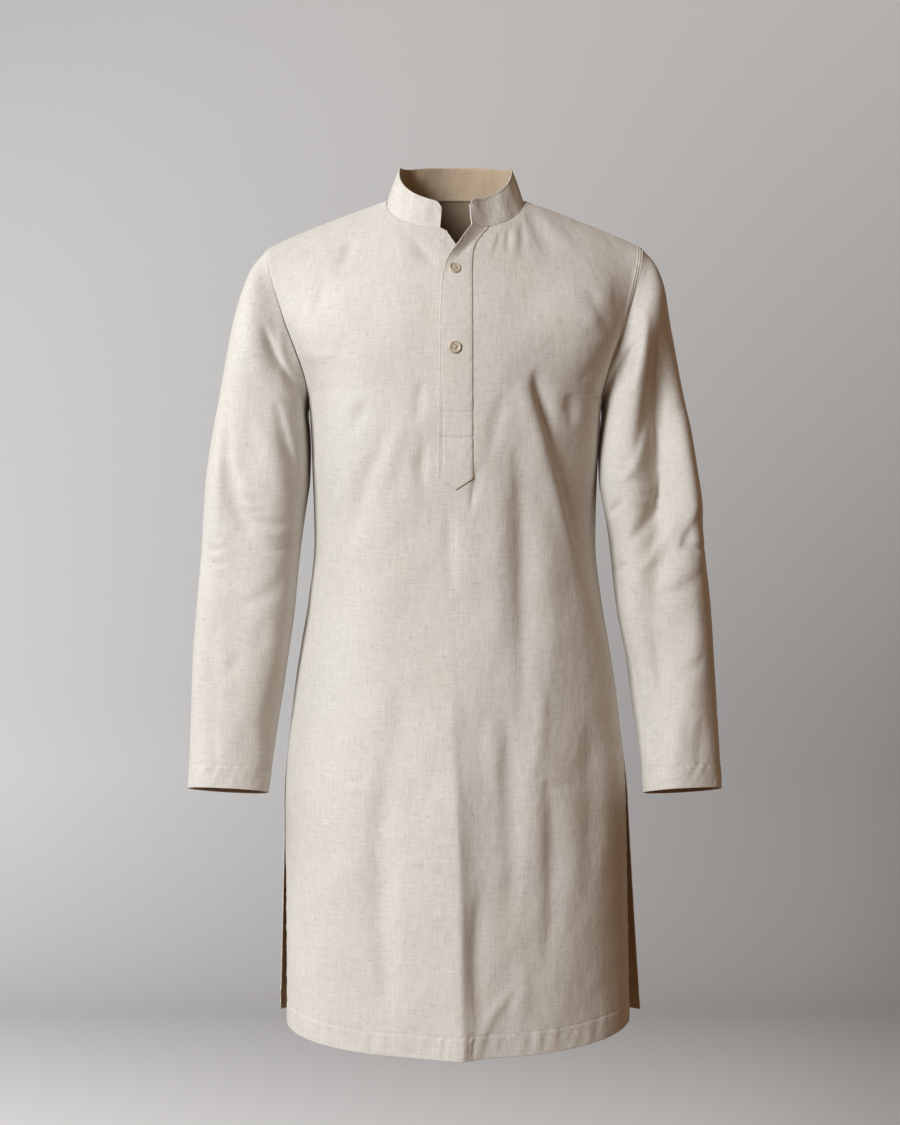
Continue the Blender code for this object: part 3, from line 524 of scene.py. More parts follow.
def armhole(turn):
    """The armhole on the wearer's left at this turn, from the shoulder through the front."""
    turn = np.mod(turn, 360.0)
    rise = 1 - np.abs(np.where(turn > 180, 360 - turn, turn)) / 180
    on_front = torso(FRONT, np.ones_like(rise), 1 + rise)
    on_back = torso(BACK, np.ones_like(rise), 1 + rise)
    return np.where((turn <= 180)[..., None], on_front, on_back)


print("armhole at the shoulder, mm:", armhole(np.zeros(1)).round(1).tolist())

# %% [markdown]
# ## The sleeves
#
# A sleeve is a tube on thirteen rings, each set by its outer and inner edge, so that its outline can be
# read straight off the table. The first ring is fitted to the armhole. The arm hangs a little forward of
# the shoulder, so the cuff stands in front of the side seam.
#
# Sleeves crease more than anything else on a tunic. Deep drag lines run down from the shoulder and the
# armpit, folds bunch at the elbow, and there are small crumples where the arm last bent. Their places are
# read on a level view from two metres away, and a sleeve has its own set for its front and its back.

# %% Sleeve tables
SleeveRing = namedtuple(
    "SleeveRing", "place outer_x outer_z inner_x inner_z middle_y half_depth front_lift left_nearer"
)
SLEEVE = (
    SleeveRing(0, 222, -57, 173, -240, 2, 66, 0, 2),
    SleeveRing(1, 239, -79, 176, -256, 3, 72, 0, 4),
    SleeveRing(2, 254, -117, 173.5, -278, 3, 76, 0, 5),
    SleeveRing(3, 265, -160, 172.5, -302, 1, 77, 0, 6),
    SleeveRing(4, 275, -214, 173, -332, -1, 76, 1, 7),
    SleeveRing(5, 286, -280, 177, -362, -3, 73, 2, 7),
    SleeveRing(6, 294, -345, 182, -396, -5, 69, 3, 6),
    SleeveRing(7, 299, -410, 187, -436, -6, 64, 4, 4),
    SleeveRing(8, 304, -480, 193, -488, -9, 59, 5, 3),
    SleeveRing(9, 308, -545, 203, -548, -14, 54, 6, 3),
    SleeveRing(10, 310, -600, 210, -602, -19, 49, 7, 3),
    SleeveRing(11, 312, -650, 217, -652, -24, 44, 8, 2),
    SleeveRing(12, 314, -696, 223, -701, -29, 40, 8, 2),
)
SLEEVE_START = -0.2
SLEEVE_SQUARENESS = 0.7
SLEEVE_ROUND_FROM = 11.0
ARMHOLE_OUTWARD = (0.963, 0.0, -0.27)
SLEEVE_SEAM_FADE = 2.5
SLEEVE_FOLDS_FROM = 0.7
print("a sleeve has", len(SLEEVE), "rings")

# %% [markdown]
# Each row bends one soft line over three points, each given by its distance from the tunic's middle and
# its height. After them come its half width, its rise (a trough has a negative one) and its lean.

# %% Sleeve creases in front
SLEEVE_FRONT_CREASES = {
    RIGHT: (
        Crease(204, -200, 222, -470, 250, -860, 34.0, 12.0, 0.0),
        Crease(228, -146, 214, -184, 186, -232, 6.5, -7.5, 0.2),
        Crease(204, -200, 192, -220, 176, -244, 7.0, -6.0, 0.0),
        Crease(246, -132, 236, -180, 222, -226, 14.0, 3.6, 0.0),
        Crease(198, -120, 206, -156, 204, -196, 7.0, 2.6, 0.0),
        Crease(214, -234, 202, -286, 184, -346, 7.5, -5.4, 0.2),
        Crease(270, -196, 274, -290, 271, -356, 7.0, -3.2, 0.0),
        Crease(238, -250, 222, -300, 204, -346, 13.0, 3.0, 0.0),
        Crease(270, -268, 262, -352, 226, -418, 9.0, -5.4, 0.3),
        Crease(278, -300, 284, -340, 276, -380, 9.0, 2.8, 0.0),
        Crease(244, -318, 250, -356, 240, -388, 9.0, 3.0, 0.0),
        Crease(260, -352, 242, -358, 224, -354, 3.2, -1.6, 0.0),
        Crease(258, -366, 240, -371, 220, -366, 3.2, -1.5, 0.0),
        Crease(248, -374, 222, -384, 196, -378, 5.0, -1.8, 0.0),
        Crease(246, -392, 220, -398, 196, -392, 5.0, 1.2, 0.0),
        Crease(240, -410, 220, -416, 200, -410, 5.0, -1.6, 0.0),
        Crease(298, -412, 284, -416, 266, -408, 3.6, -2.0, 0.0),
        Crease(298, -428, 284, -432, 268, -428, 3.6, -1.8, 0.0),
        Crease(292, -402, 276, -440, 236, -462, 10.0, -3.2, 0.2),
        Crease(210, -440, 226, -468, 258, -482, 9.0, -2.4, 0.0),
        Crease(230, -496, 234, -520, 238, -542, 10.0, -2.4, 0.0),
        Crease(272, -500, 274, -560, 268, -620, 12.0, 2.2, 0.0),
        Crease(254, -540, 262, -552, 272, -568, 8.0, -2.0, 0.0),
        Crease(220, -560, 226, -610, 234, -660, 10.0, -2.2, 0.0),
        Crease(252, -620, 250, -646, 244, -676, 10.0, -2.2, 0.0),
        Crease(290, -600, 288, -640, 282, -676, 8.0, -1.8, 0.0),
    ),
    LEFT: (
        Crease(268, -92, 262, -190, 240, -340, 26.0, -26.0, 0.0),
        Crease(254, -190, 250, -320, 236, -476, 30.0, -24.0, 0.0),
        Crease(236, -430, 238, -570, 244, -720, 30.0, -14.0, 0.0),
        Crease(248, -600, 250, -690, 252, -800, 26.0, 8.0, 0.0),
        Crease(248, -146, 234, -232, 212, -302, 9.0, -7.0, 0.0),
        Crease(228, -124, 224, -176, 214, -230, 9.0, 5.0, 0.0),
        Crease(218, -168, 196, -206, 168, -252, 9.0, -15.0, 0.0),
        Crease(184, -250, 180, -310, 190, -404, 14.0, 8.0, 0.0),
        Crease(276, -240, 281, -320, 288, -410, 13.0, 13.0, 0.0),
        Crease(226, -290, 214, -316, 196, -336, 8.0, 3.4, 0.0),
        Crease(258, -310, 238, -362, 202, -412, 10.0, -8.0, 0.25),
        Crease(272, -368, 246, -410, 218, -442, 9.0, 4.4, 0.1),
        Crease(290, -364, 282, -396, 266, -420, 8.0, -5.2, 0.2),
        Crease(300, -412, 286, -414, 270, -406, 4.2, -4.0, 0.0),
        Crease(262, -330, 232, -336, 206, -330, 3.2, -1.6, 0.0),
        Crease(262, -346, 232, -352, 204, -346, 3.4, -1.8, 0.0),
        Crease(256, -362, 228, -368, 204, -362, 3.2, -1.6, 0.0),
        Crease(200, -352, 192, -366, 184, -372, 5.0, -2.6, 0.0),
        Crease(204, -430, 196, -438, 186, -442, 5.0, -2.6, 0.0),
        Crease(296, -436, 270, -462, 232, -470, 10.0, -3.0, 0.2),
        Crease(206, -456, 224, -486, 252, -502, 9.0, -2.6, 0.0),
        Crease(284, -474, 286, -520, 280, -568, 12.0, 2.4, 0.0),
        Crease(232, -510, 236, -556, 246, -590, 10.0, -2.8, 0.0),
        Crease(296, -540, 280, -560, 262, -566, 8.0, -1.8, 0.0),
        Crease(220, -590, 226, -630, 236, -670, 10.0, -2.2, 0.0),
        Crease(262, -600, 264, -640, 258, -680, 10.0, 2.2, 0.0),
        Crease(294, -612, 292, -650, 286, -682, 8.0, -2.0, 0.0),
    ),
}
print("creases in front of a sleeve:", [len(rows) for rows in SLEEVE_FRONT_CREASES.values()])

# %% [markdown]
# Behind, the sleeves have fewer creases, of the same kinds.

# %% Sleeve creases behind
SLEEVE_BACK_CREASES = {
    RIGHT: (
        Crease(240, -120, 222, -180, 192, -230, 14.0, -8.0, -0.2),
        Crease(262, -170, 250, -230, 226, -280, 14.0, 4.0, 0.0),
        Crease(282, -330, 250, -388, 204, -418, 12.0, -6.0, 0.2),
        Crease(290, -390, 260, -430, 212, -450, 10.0, 4.0, 0.0),
        Crease(276, -300, 240, -340, 200, -356, 9.0, -4.0, 0.0),
        Crease(236, -480, 244, -560, 256, -640, 14.0, -3.0, 0.0),
        Crease(282, -500, 286, -580, 282, -660, 12.0, 2.6, 0.0),
    ),
    LEFT: (
        Crease(238, -116, 220, -176, 190, -232, 14.0, -8.4, 0.2),
        Crease(260, -176, 250, -236, 222, -286, 13.0, 4.2, 0.0),
        Crease(286, -336, 252, -380, 206, -410, 12.0, -6.4, 0.2),
        Crease(292, -394, 264, -438, 214, -456, 10.0, 3.6, 0.0),
        Crease(270, -296, 236, -330, 200, -350, 9.0, -4.0, 0.0),
        Crease(238, -476, 248, -550, 262, -650, 14.0, -3.2, 0.0),
        Crease(284, -496, 290, -590, 284, -664, 12.0, 2.8, 0.0),
    ),
}
READ_FROM = 2000.0
READ_LEVEL = -431.0
SLEEVE_EDGE_BLEND = 0.5
SLEEVE_WAVE_TURN = 0.7
OUTLINE_HELD = 0.85
OUTLINE_HELD_TO = 5.5
print("creases behind a sleeve:", [len(rows) for rows in SLEEVE_BACK_CREASES.values()])


# %% [markdown]
# A point of a sleeve is set by its turn round the arm and its place between the rings. The plain ring is
# fitted to the armhole at the top, and the creases then push the cloth out or in.

# %% Points of a sleeve
def plain_ring(side, turn, place):
    """A ring of the plain sleeve, as if on the wearer's left, before its seam is fitted to the armhole."""
    angle = np.radians(turn)
    nearer = read(SLEEVE, "left_nearer", place, "place") * max(side, 0)
    outer_x = read(SLEEVE, "outer_x", place, "place") - nearer
    outer = np.stack([outer_x, read(SLEEVE, "outer_z", place, "place")], -1)
    inner_x = read(SLEEVE, "inner_x", place, "place")
    inner = np.stack([inner_x, read(SLEEVE, "inner_z", place, "place")], -1)
    middle = (outer + inner) / 2
    arm = (outer - inner) / 2
    half_depth = read(SLEEVE, "half_depth", place, "place")
    lift = read(SLEEVE, "front_lift", place, "place")
    power = 2 / (2 + SLEEVE_SQUARENESS * soft_step(place / 2) * soft_step((SLEEVE_ROUND_FROM - place) / 3))
    across = np.sign(np.cos(angle)) * np.abs(np.cos(angle)) ** power
    out = np.sign(np.sin(angle)) * np.abs(np.sin(angle)) ** power
    x = middle[..., 0] + arm[..., 0] * across
    z = middle[..., 1] + arm[..., 1] * across + lift * out
    y = read(SLEEVE, "middle_y", place, "place") - half_depth * out
    return np.stack([x, y, z], -1)


def sleeve_rise(side, turn, place, point):
    """Creases and waves of a sleeve, its front and back sets blended at its edges.

    Over the upper arm the cloth is taut along the outer edge, so creases die out before they reach it.
    """
    nearer = READ_FROM / (READ_FROM + point[..., 1])
    x = point[..., 0] * nearer
    z = READ_LEVEL + (point[..., 2] - READ_LEVEL) * nearer
    in_front = soft_step(0.5 + np.sin(np.radians(turn)) / SLEEVE_EDGE_BLEND)
    before = crease_rise(SLEEVE_FRONT_CREASES[side], x, z)
    behind = crease_rise(SLEEVE_BACK_CREASES[side], x, z)
    waves = wave_rise(SLEEVE_WAVES[side], point[..., 0] + SLEEVE_WAVE_TURN * point[..., 1], point[..., 2])
    outer = np.clip(np.cos(np.radians(turn)), 0, 1) ** 4
    upper = 1 - soft_step((place - OUTLINE_HELD_TO) / 1.5)
    return (before * in_front + behind * (1 - in_front)) * (1 - OUTLINE_HELD * outer * upper) + waves


def sleeve(side, turn, place):
    """A point of a sleeve: turn 0 is its outer edge and 90 its front; place counts rings of the table."""
    turn, place = np.broadcast_arrays(np.asarray(turn, float), np.asarray(place, float))
    point = plain_ring(side, turn, place)
    seam = plain_ring(side, turn, np.zeros_like(place))
    off = armhole(turn) + SLEEVE_START * np.array(ARMHOLE_OUTWARD) - seam
    point = point + off * (1 - soft_step(place / SLEEVE_SEAM_FADE))[..., None]
    outer_edge = plain_ring(side, np.zeros_like(place), place)
    inner_edge = plain_ring(side, np.full_like(place, 180.0), place)
    away = point - (outer_edge + inner_edge) / 2
    away /= np.linalg.norm(away, axis=-1, keepdims=True)
    rise = sleeve_rise(side, turn, place, point) * soft_step(place / SLEEVE_FOLDS_FROM)
    point = point + away * rise[..., None]
    return point * np.array([side, 1.0, 1.0])


elbow = [plain_ring(LEFT, np.full(1, turn), np.full(1, 4.0))[0] for turn in (0.0, 180.0)]
print("sleeve across, near the elbow:", round(float(np.linalg.norm(elbow[0] - elbow[1]))), "mm")

# %% [markdown]
# ## Cloth as a thin wall
#
# Cloth is built on a grid of points: an outside skin, an inside skin and a narrow rounded rim joining
# them. The grid is close at the edges, so hems and seams keep a soft lip. Each piece carries its flat cut
# as a UV map in metres, measured along the cloth, so the weave runs true over every fold and narrows
# nowhere. Slot 0 is the right side of the linen and slot 1 the wrong side, which is painted a darker
# brown as painted shade for the inside of the tunic.

# %% Walls from grids of points
CLOTH_WALL = 0.9
HEM_WALL = 1.7
EDGE_STOPS = (0.0, 0.1, 0.32, 0.7, 1.3, 2.1, 3.0)
RIM_ROUND = 0.6
RIM_LEAST = 0.15


def stops(length, spacing, first=EDGE_STOPS, last=EDGE_STOPS):
    """Distances from 0 to a length, close together at the ends and even between."""
    count = max(int(round((length - first[-1] - last[-1]) / spacing)), 1)
    middle = np.linspace(first[-1], length - last[-1], count + 1)[1:-1]
    return np.concatenate([first, middle, length - np.array(last[::-1])])


def run_length(points, axis):
    """Distance along the cloth from the start of each row or column."""
    run = np.cumsum(np.linalg.norm(np.diff(points, axis=axis), axis=-1), axis=axis)
    return np.concatenate([np.zeros_like(run.take([0], axis)), run], axis)


def girth_run(points):
    """Distance round a tube from its first column, square to its length: its rings may slant."""
    down = np.gradient(points, axis=0)
    down /= np.linalg.norm(down, axis=-1, keepdims=True)
    step = np.diff(points, axis=1)
    slant = (step * down[:, :-1]).sum(-1, keepdims=True) * down[:, :-1]
    run = np.cumsum(np.linalg.norm(step - slant, axis=-1), axis=1)
    return np.concatenate([np.zeros_like(run[:, :1]), run], 1)


print("a wall is", CLOTH_WALL, "mm thick, and", HEM_WALL, "mm at a hem")


# %% [markdown]
# The two skins lie to either side of the form, and the wall thins to a rounded lip at its edge.

# %% Two skins of a wall
def skin_normals(points, facing, looped=False):
    if looped:
        points = np.concatenate([points[:, -1:], points, points[:, :1]], 1)
    normal = np.cross(np.gradient(points, axis=1), np.gradient(points, axis=0)) * facing
    normal = normal[:, 1:-1] if looped else normal
    return normal / np.maximum(np.linalg.norm(normal, axis=-1, keepdims=True), 1e-12)


def rim_share(distance):
    """How much of its thickness the wall keeps near an edge."""
    short = 1 - np.clip(distance / RIM_ROUND, 0, 1)
    return np.maximum(np.sqrt(1 - short**2), RIM_LEAST)


def wall_skins(points, facing, wall, lift, edge, looped=False):
    """Outside and inside skins: the outside lies on the points, lifted, and the wall thins at the edge."""
    normal = skin_normals(points, facing, looped)
    wall = np.broadcast_to(wall, edge.shape)
    middle = points + (lift - wall / 2)[..., None] * normal
    half = (wall / 2 * rim_share(edge))[..., None] * normal
    return middle + half, middle - half


print("at its very edge a wall keeps", RIM_LEAST, "of its thickness")


# %% [markdown]
# The skins are joined into one closed mesh, and the cut of its cloth is measured on the way.

# %% One mesh for each piece of cloth
def cloth_piece(name, outer, inner, cut, facing, keep=None):
    """Joins two skins into a closed wall; cut has one more column than the skins where they loop."""
    columns, around = cut.shape[1] - 1, outer.shape[1]
    if keep is None:
        keep = np.ones((outer.shape[0] - 1, columns), bool)
    row, column = np.nonzero(keep)
    corner_row = np.stack([row, row, row + 1, row + 1], -1)
    corner_column = np.stack([column, column + 1, column + 1, column], -1)
    if facing < 0:
        corner_row, corner_column = corner_row[:, ::-1], corner_column[:, ::-1]
    corner = corner_row * around + corner_column % around
    flat = corner_row * (columns + 1) + corner_column
    skin = outer.shape[0] * around
    start, end = corner, np.roll(corner, -1, 1)
    once = ~np.isin(start * skin + end, end * skin + start)
    rim = np.stack([end[once], start[once], start[once] + skin, end[once] + skin], -1)
    flat_end = np.roll(flat, -1, 1)
    rim_flat = np.stack([flat_end[once], flat[once], flat[once], flat_end[once]], -1)
    faces = np.concatenate([corner, corner[:, ::-1] + skin, rim])
    flats = np.concatenate([flat, flat[:, ::-1], rim_flat])
    points = np.concatenate([outer.reshape(-1, 3), inner.reshape(-1, 3)]) * MM
    used, faces = np.unique(faces, return_inverse=True)
    data = bpy.data.meshes.new(name)
    data.from_pydata(points[used].tolist(), [], faces.reshape(-1, 4).tolist())
    uv_map = data.uv_layers.new(name="cut")
    uv_map.data.foreach_set("uv", (cut.reshape(-1, 2)[flats.ravel()] * MM).ravel())
    kept_cut = cut.reshape(-1, 2)[flat] * MM
    rising, falling = kept_cut[:, 2] - kept_cut[:, 0], kept_cut[:, 3] - kept_cut[:, 1]
    flat_area = np.abs(rising[:, 0] * falling[:, 1] - rising[:, 1] * falling[:, 0]).sum() / 2
    sides = np.zeros(len(flats), np.int32)
    sides[len(corner) : 2 * len(corner)] = 1
    data.polygons.foreach_set("material_index", sides)
    data.polygons.foreach_set("use_smooth", np.ones(len(flats), bool))
    piece = bpy.data.objects.new(name, data)
    bpy.context.scene.collection.objects.link(piece)
    made[name] = piece
    area = sum(face.area for face in data.polygons if face.material_index == 1)
    print(f"{name}: {2 * len(flats)} triangles, {area:.3f} square metres of cloth")


made = {}
print("pieces so far:", len(made))

# %% [markdown]
# ## Seams, hems and their puckers
#
# A seam sinks a little, because its allowances pull the two cloths down into it. A hem is turned up on
# the inside, so it is twice as thick, stands slightly proud and ends at a sunken line of stitching. The
# thread is a little tighter than the cloth, which is why a washed linen hem puckers between its edge and
# that line. The puckers here come from a few unequal waves, strongest where a hem shows them most.

# %% Seam and hem shapes
SEAM_DIP = 0.5
SEAM_DIP_WIDTH = 1.5
HEM_DEPTH = 25.0
SLIT_HEM = 9.0
HEM_PROUD = 0.35
TURN_WIDTH = 1.6
GROOVE = 0.45
GROOVE_WIDTH = 1.1
PUCKER_PITCHES = (1.0, 0.71, 0.53, 1.37)
PUCKER_SLANT = 0.5
PUCKER_REACH = 1.25
PUCKER_ROUNDNESS = 0.8


def sewn(distance):
    """The dip beside a seam."""
    return -SEAM_DIP * np.exp(-((distance / SEAM_DIP_WIDTH) ** 2))


def stitched(distance, line, depth=GROOVE):
    """The groove under a line of stitching."""
    return -depth * np.exp(-(((distance - line) / GROOVE_WIDTH) ** 2))


def turned(distance, width):
    """1 in the turned part of a hem and 0 beyond its stitching."""
    return soft_step(0.5 + (width - distance) / TURN_WIDTH)


def puckers(run, distance, width, pitch, height, seed):
    """Waves that cross a hem between its edge and its stitching."""
    chance = np.random.default_rng(seed)
    total = np.zeros(np.shape(run))
    for share in PUCKER_PITCHES:
        phase, slope = chance.uniform(0, 2 * np.pi), chance.normal(0, PUCKER_SLANT)
        total = total + np.sin(2 * np.pi * (run + slope * distance) / (pitch / share) + phase) / 2
    across = np.sin(np.pi * np.clip(distance / width / PUCKER_REACH, 0, 1)) ** PUCKER_ROUNDNESS
    return height * total * across


print("hems are", HEM_DEPTH, "mm deep, and", SLIT_HEM, "mm beside the slits")

# %% [markdown]
# Each panel is laid on its points, with a doubled hem, narrow hems beside the slits and sewn seams. The
# front has a stitched band at the armhole on the wearer's left.

# %% The front and back panels
BODY_SPACING = 4.2
BACK_SPACING = 4.8
CHEST_ROWS = 74
BACK_CHEST_ROWS = 60
CENTRE_SPACING = 2.6
REFERENCE_ALONG = 0.9
FINE_SIZES = np.linspace(0, 1, 1500)
ARMHOLE_BAND = 8.0
ARMHOLE_BAND_PROUD = 1.2
ARMHOLE_GROOVE = 1.5
ARMHOLE_LINES = (1.6, 4.4, 7.0)
ARMHOLE_STOPS = (*EDGE_STOPS, 3.8, 4.6, 5.4, 6.2, 7.0, 7.8, 8.6, 9.6)
HEM_STOPS = (*EDGE_STOPS, 7, 11, 15, 19, 22, 23, 24, 25, 26, 27, 28)
HEM_PUCKER_PITCH = 12.0
HEM_PUCKER = 1.0
SLIT_PUCKER_PITCH = 13.0
SLIT_PUCKER = 0.35
SLIT_FADE = 6.0
PUCKERED_AT = 75.0
PUCKERED_WIDTH = 60.0
PUCKERED_LEAST = 0.55


def panel_columns(face, spacing):
    """Across values that space the columns evenly over the cloth, with close ones at each cut edge."""
    core = CENTRE_SHARE if face == FRONT else 0.0
    run = run_length(torso(face, core + (1 - core) * FINE_SIZES, REFERENCE_ALONG)[None], 1)[0]
    first = EDGE_STOPS if face == FRONT else (0.0,)
    sizes = np.interp(stops(run[-1], spacing, first, ARMHOLE_STOPS), run, FINE_SIZES)
    beside = core + (1 - core) * sizes
    if face == BACK:
        return np.concatenate([-beside[:0:-1], beside])
    width = OPENING_LEFT + OPENING_RIGHT
    between = 2 * stops(width, CENTRE_SPACING)[1:-1] / width - 1
    return np.concatenate([-beside[::-1], core * between, beside])


def panel_rows(face, spacing, chest_rows):
    hem = FRONT_HEM if face == FRONT else BACK_HEM
    height = ARMPIT - hem
    rows = stops(height, spacing, HEM_STOPS, (0.0,)) / height
    return np.concatenate([rows, 1 + np.arange(1, chest_rows + 1) / chest_rows])


def panel(name, face, spacing, chest_rows):
    across, along = np.meshgrid(panel_columns(face, spacing), panel_rows(face, spacing, chest_rows))
    points = torso(face, across, along)
    run, climb = run_length(points, 1), run_length(points, 0)
    centre = run[:, [np.argmin(np.abs(across[0]))]]
    from_side = np.minimum(run, run[:, -1:] - run)
    from_top = climb[-1:] - climb
    below = points[..., 2] < SLIT_TOP
    at_slit = soft_step((SLIT_TOP - points[..., 2]) / SLIT_FADE)
    side_hem = turned(from_side, SLIT_HEM) * at_slit
    hem = turned(climb, HEM_DEPTH)
    off_middle = (points[..., 0] - PUCKERED_AT) / PUCKERED_WIDTH
    strong = PUCKERED_LEAST + (1 - PUCKERED_LEAST) * np.exp(-(off_middle**2))
    lift = HEM_PROUD * np.maximum(hem, side_hem) + stitched(climb, HEM_DEPTH)
    lift = lift + stitched(from_side, SLIT_HEM - 1) * at_slit + sewn(from_top)
    lift = lift + np.where(below, 0, sewn(from_side))
    lift = lift + puckers(run - centre, climb, HEM_DEPTH, HEM_PUCKER_PITCH, HEM_PUCKER, 4 + face) * strong
    lift = lift + puckers(climb, from_side, SLIT_HEM, SLIT_PUCKER_PITCH, SLIT_PUCKER, 9 + face) * at_slit
    if face == FRONT:
        band = (across > 0) & (along > 1)
        lift = lift + np.where(band, ARMHOLE_BAND_PROUD * turned(from_side, ARMHOLE_BAND), 0)
        for line in ARMHOLE_LINES:
            lift = lift + np.where(band, stitched(from_side, line, ARMHOLE_GROOVE), 0)
    edge = np.minimum(np.minimum(climb, from_top), from_side)
    keep = None
    if face == FRONT:
        open_row = along[:-1] > 1 - (ARMPIT - OPENING_BOTTOM) / (ARMPIT - FRONT_HEM) - 1e-9
        inside = (across[:-1, :-1] > -CENTRE_SHARE - 1e-9) & (across[:-1, 1:] < CENTRE_SHARE + 1e-9)
        keep = ~(open_row[:, :-1] & inside)
    wall = CLOTH_WALL + (HEM_WALL - CLOTH_WALL) * np.maximum(hem, side_hem)
    facing = -face
    outer, inner = wall_skins(points, facing, wall, lift, edge)
    cloth_piece(name, outer, inner, np.stack([run - centre, climb], -1), facing, keep)
    return outer, along[:, 0]


front_skin, front_along = panel("front_cloth", FRONT, BODY_SPACING, CHEST_ROWS)
back_skin, _ = panel("back_cloth", BACK, BACK_SPACING, BACK_CHEST_ROWS)

# %% [markdown]
# A sleeve is sewn into a tube before it is set in. Its seam runs under the arm, just in front of the
# inner edge, and the weave runs straight down the outside of the arm. The cuff is a plain turned hem.

# %% The sleeves
SLEEVE_SPACING = 3.4
UNDERARM = 166.0
CUFF_HEM = 26.0
CUFF_RADIUS = 42.0
SEAM_ROUND = (0.8, 1.9)
SLEEVE_TURNS = 128
CUFF_STOPS = (*EDGE_STOPS, 8, 13, 18, 22, 23, 24, 25, 26, 27, 28, 29)
SLEEVE_SEAM_DIP = 0.7
CUFF_PUCKER_PITCH = 12.0
CUFF_PUCKER = 0.45
CUFF_PUCKER_FADE = 12.0
FINE_PLACES = np.linspace(0, 12, 1500)


def sleeve_piece(name, side):
    turns = 360 * np.arange(SLEEVE_TURNS) / SLEEVE_TURNS
    turns = UNDERARM + np.sort(np.concatenate([turns, SEAM_ROUND, 360 - np.array(SEAM_ROUND)]))
    run = run_length(sleeve(side, 90.0, FINE_PLACES)[None], 1)[0]
    places = np.interp(stops(run[-1], SLEEVE_SPACING, EDGE_STOPS, CUFF_STOPS), run, FINE_PLACES)
    turn, place = np.meshgrid(turns, places)
    points = sleeve(side, turn, place)
    looped = np.concatenate([points, points[:, :1]], 1)
    around, down = girth_run(looped), run_length(looped, 0)
    centre = around[:, -1:] / 2
    from_seam = np.minimum(around, around[:, -1:] - around)[:, :-1]
    from_cuff = (down[-1:] - down)[:, :-1]
    from_armhole = down[:, :-1]
    hem = turned(from_cuff, CUFF_HEM)
    lift = HEM_PROUD * hem + stitched(from_cuff, CUFF_HEM)
    lift = lift + sewn(from_armhole) + SLEEVE_SEAM_DIP * sewn(from_seam)
    cuff_run = np.radians(turn) * CUFF_RADIUS
    puckered = puckers(cuff_run, from_cuff, CUFF_HEM, CUFF_PUCKER_PITCH, CUFF_PUCKER, 20 + side)
    lift = lift + puckered * soft_step(from_seam / CUFF_PUCKER_FADE)
    wall = CLOTH_WALL + (HEM_WALL - CLOTH_WALL) * hem
    edge = np.minimum(from_cuff, from_armhole)
    outer, inner = wall_skins(points, side, wall, lift, edge, looped=True)
    cloth_piece(name, outer, inner, np.stack([around - centre, down[-1:] - down], -1), side)
    return outer


sleeve_skins = {
    LEFT: sleeve_piece("sleeve_left_cloth", LEFT),
    RIGHT: sleeve_piece("sleeve_right_cloth", RIGHT),
}

# %% [markdown]
# ## The half placket
#
# The placket is two strips let into the cut front. The under one carries the buttons and lies level with
# the front. The over one is doubled cloth, stitched down along its sewn edge, and laps over it. Above the
# top button it isn't fastened, so its free edge stands off and rolls back like a small lapel. Its lower
# end is a point, boxed in with stitching, because that corner takes the strain.

# %% The placket strips
StripRow = namedtuple("StripRow", "height fixed free valley lift")
OVER_STRIP = (
    StripRow(-44.5, 39.5, 17.5, 36, 13.5),
    StripRow(-55, 32, 10.5, 28, 14),
    StripRow(-66, 25, 3.5, 19, 12.5),
    StripRow(-78, 21.5, -5, 9, 9),
    StripRow(-90, 20.5, -11, 0, 4.5),
    StripRow(-108, 20, -15, -9, 0.8),
    StripRow(-135, 20, -17, -14, 0),
    StripRow(-350, 20.5, -19.5, -19, 0),
)
LAPEL_POWER = 1.3
OVER_TAPER = -300.0
OVER_END = -350.0
OVER_TOP = -44.5
OVER_POINT_DROP = 13.0
OVER_WIDTH = 37.0
OVER_WALL = 1.4

UnderRow = namedtuple("UnderRow", "height free")
UNDER_STRIP = (
    UnderRow(-47, -9),
    UnderRow(-66, 0),
    UnderRow(-84, 9),
    UnderRow(-100, 14),
    UnderRow(-130, 15),
    UnderRow(-262, 15),
)
UNDER_TOP = -44.5
UNDER_WIDTH = 32.0
UNDER_SLANT = 5.0
UNDER_SLANT_FROM = -66.0
UNDER_BOTTOM = OPENING_BOTTOM + 0.8
UNDER_TUCK = 1.2
UNDER_SUNK = 0.06
STRIP_SPACING = 1.0
STRIP_ROWS = 1.3
STRIP_STOPS = (0.0, 0.1, 0.3, 0.7, 1.2)
SEWN_EDGE_DROP = 1.5
SEWN_EDGE_WIDTH = 1.2


def front_surface(x, z):
    """The front panel over its middle, read by width and height."""
    y = body_depth(FRONT, x, z) - SEAM_GAP / 2 - panel_rise(FRONT, x, z)
    return np.stack([x + 0 * z, y, z + 0 * x], -1)


def over_strip(share, z):
    """The surface under the over-placket: share 0 at its free edge, 1 at its sewn edge."""
    below_taper = np.clip((OVER_TAPER - z) / (OVER_TAPER - OVER_END), 0, 1)
    z = z + OVER_POINT_DROP * np.abs(2 * share - 1) * below_taper
    fixed, free = read(OVER_STRIP, "fixed", z), read(OVER_STRIP, "free", z)
    valley = read(OVER_STRIP, "valley", z)
    x = free + (fixed - free) * share
    raised = np.clip((valley - x) / np.maximum(valley - free, 1e-6), 0, 1) ** LAPEL_POWER
    lift = read(OVER_STRIP, "lift", z) * raised
    return front_surface(x, z) - np.stack([0 * lift, lift, 0 * lift], -1)


def under_strip(share, z):
    """The under-placket, level with the front: share 0 at its sewn edge, 1 at its free edge."""
    sewn_x = -OPENING_RIGHT - UNDER_TUCK
    near_top = np.clip((z - UNDER_SLANT_FROM) / (UNDER_TOP - UNDER_SLANT_FROM), 0, 1)
    x = sewn_x + (read(UNDER_STRIP, "free", z) - sewn_x) * share
    return front_surface(x, z - UNDER_SLANT * share * near_top)


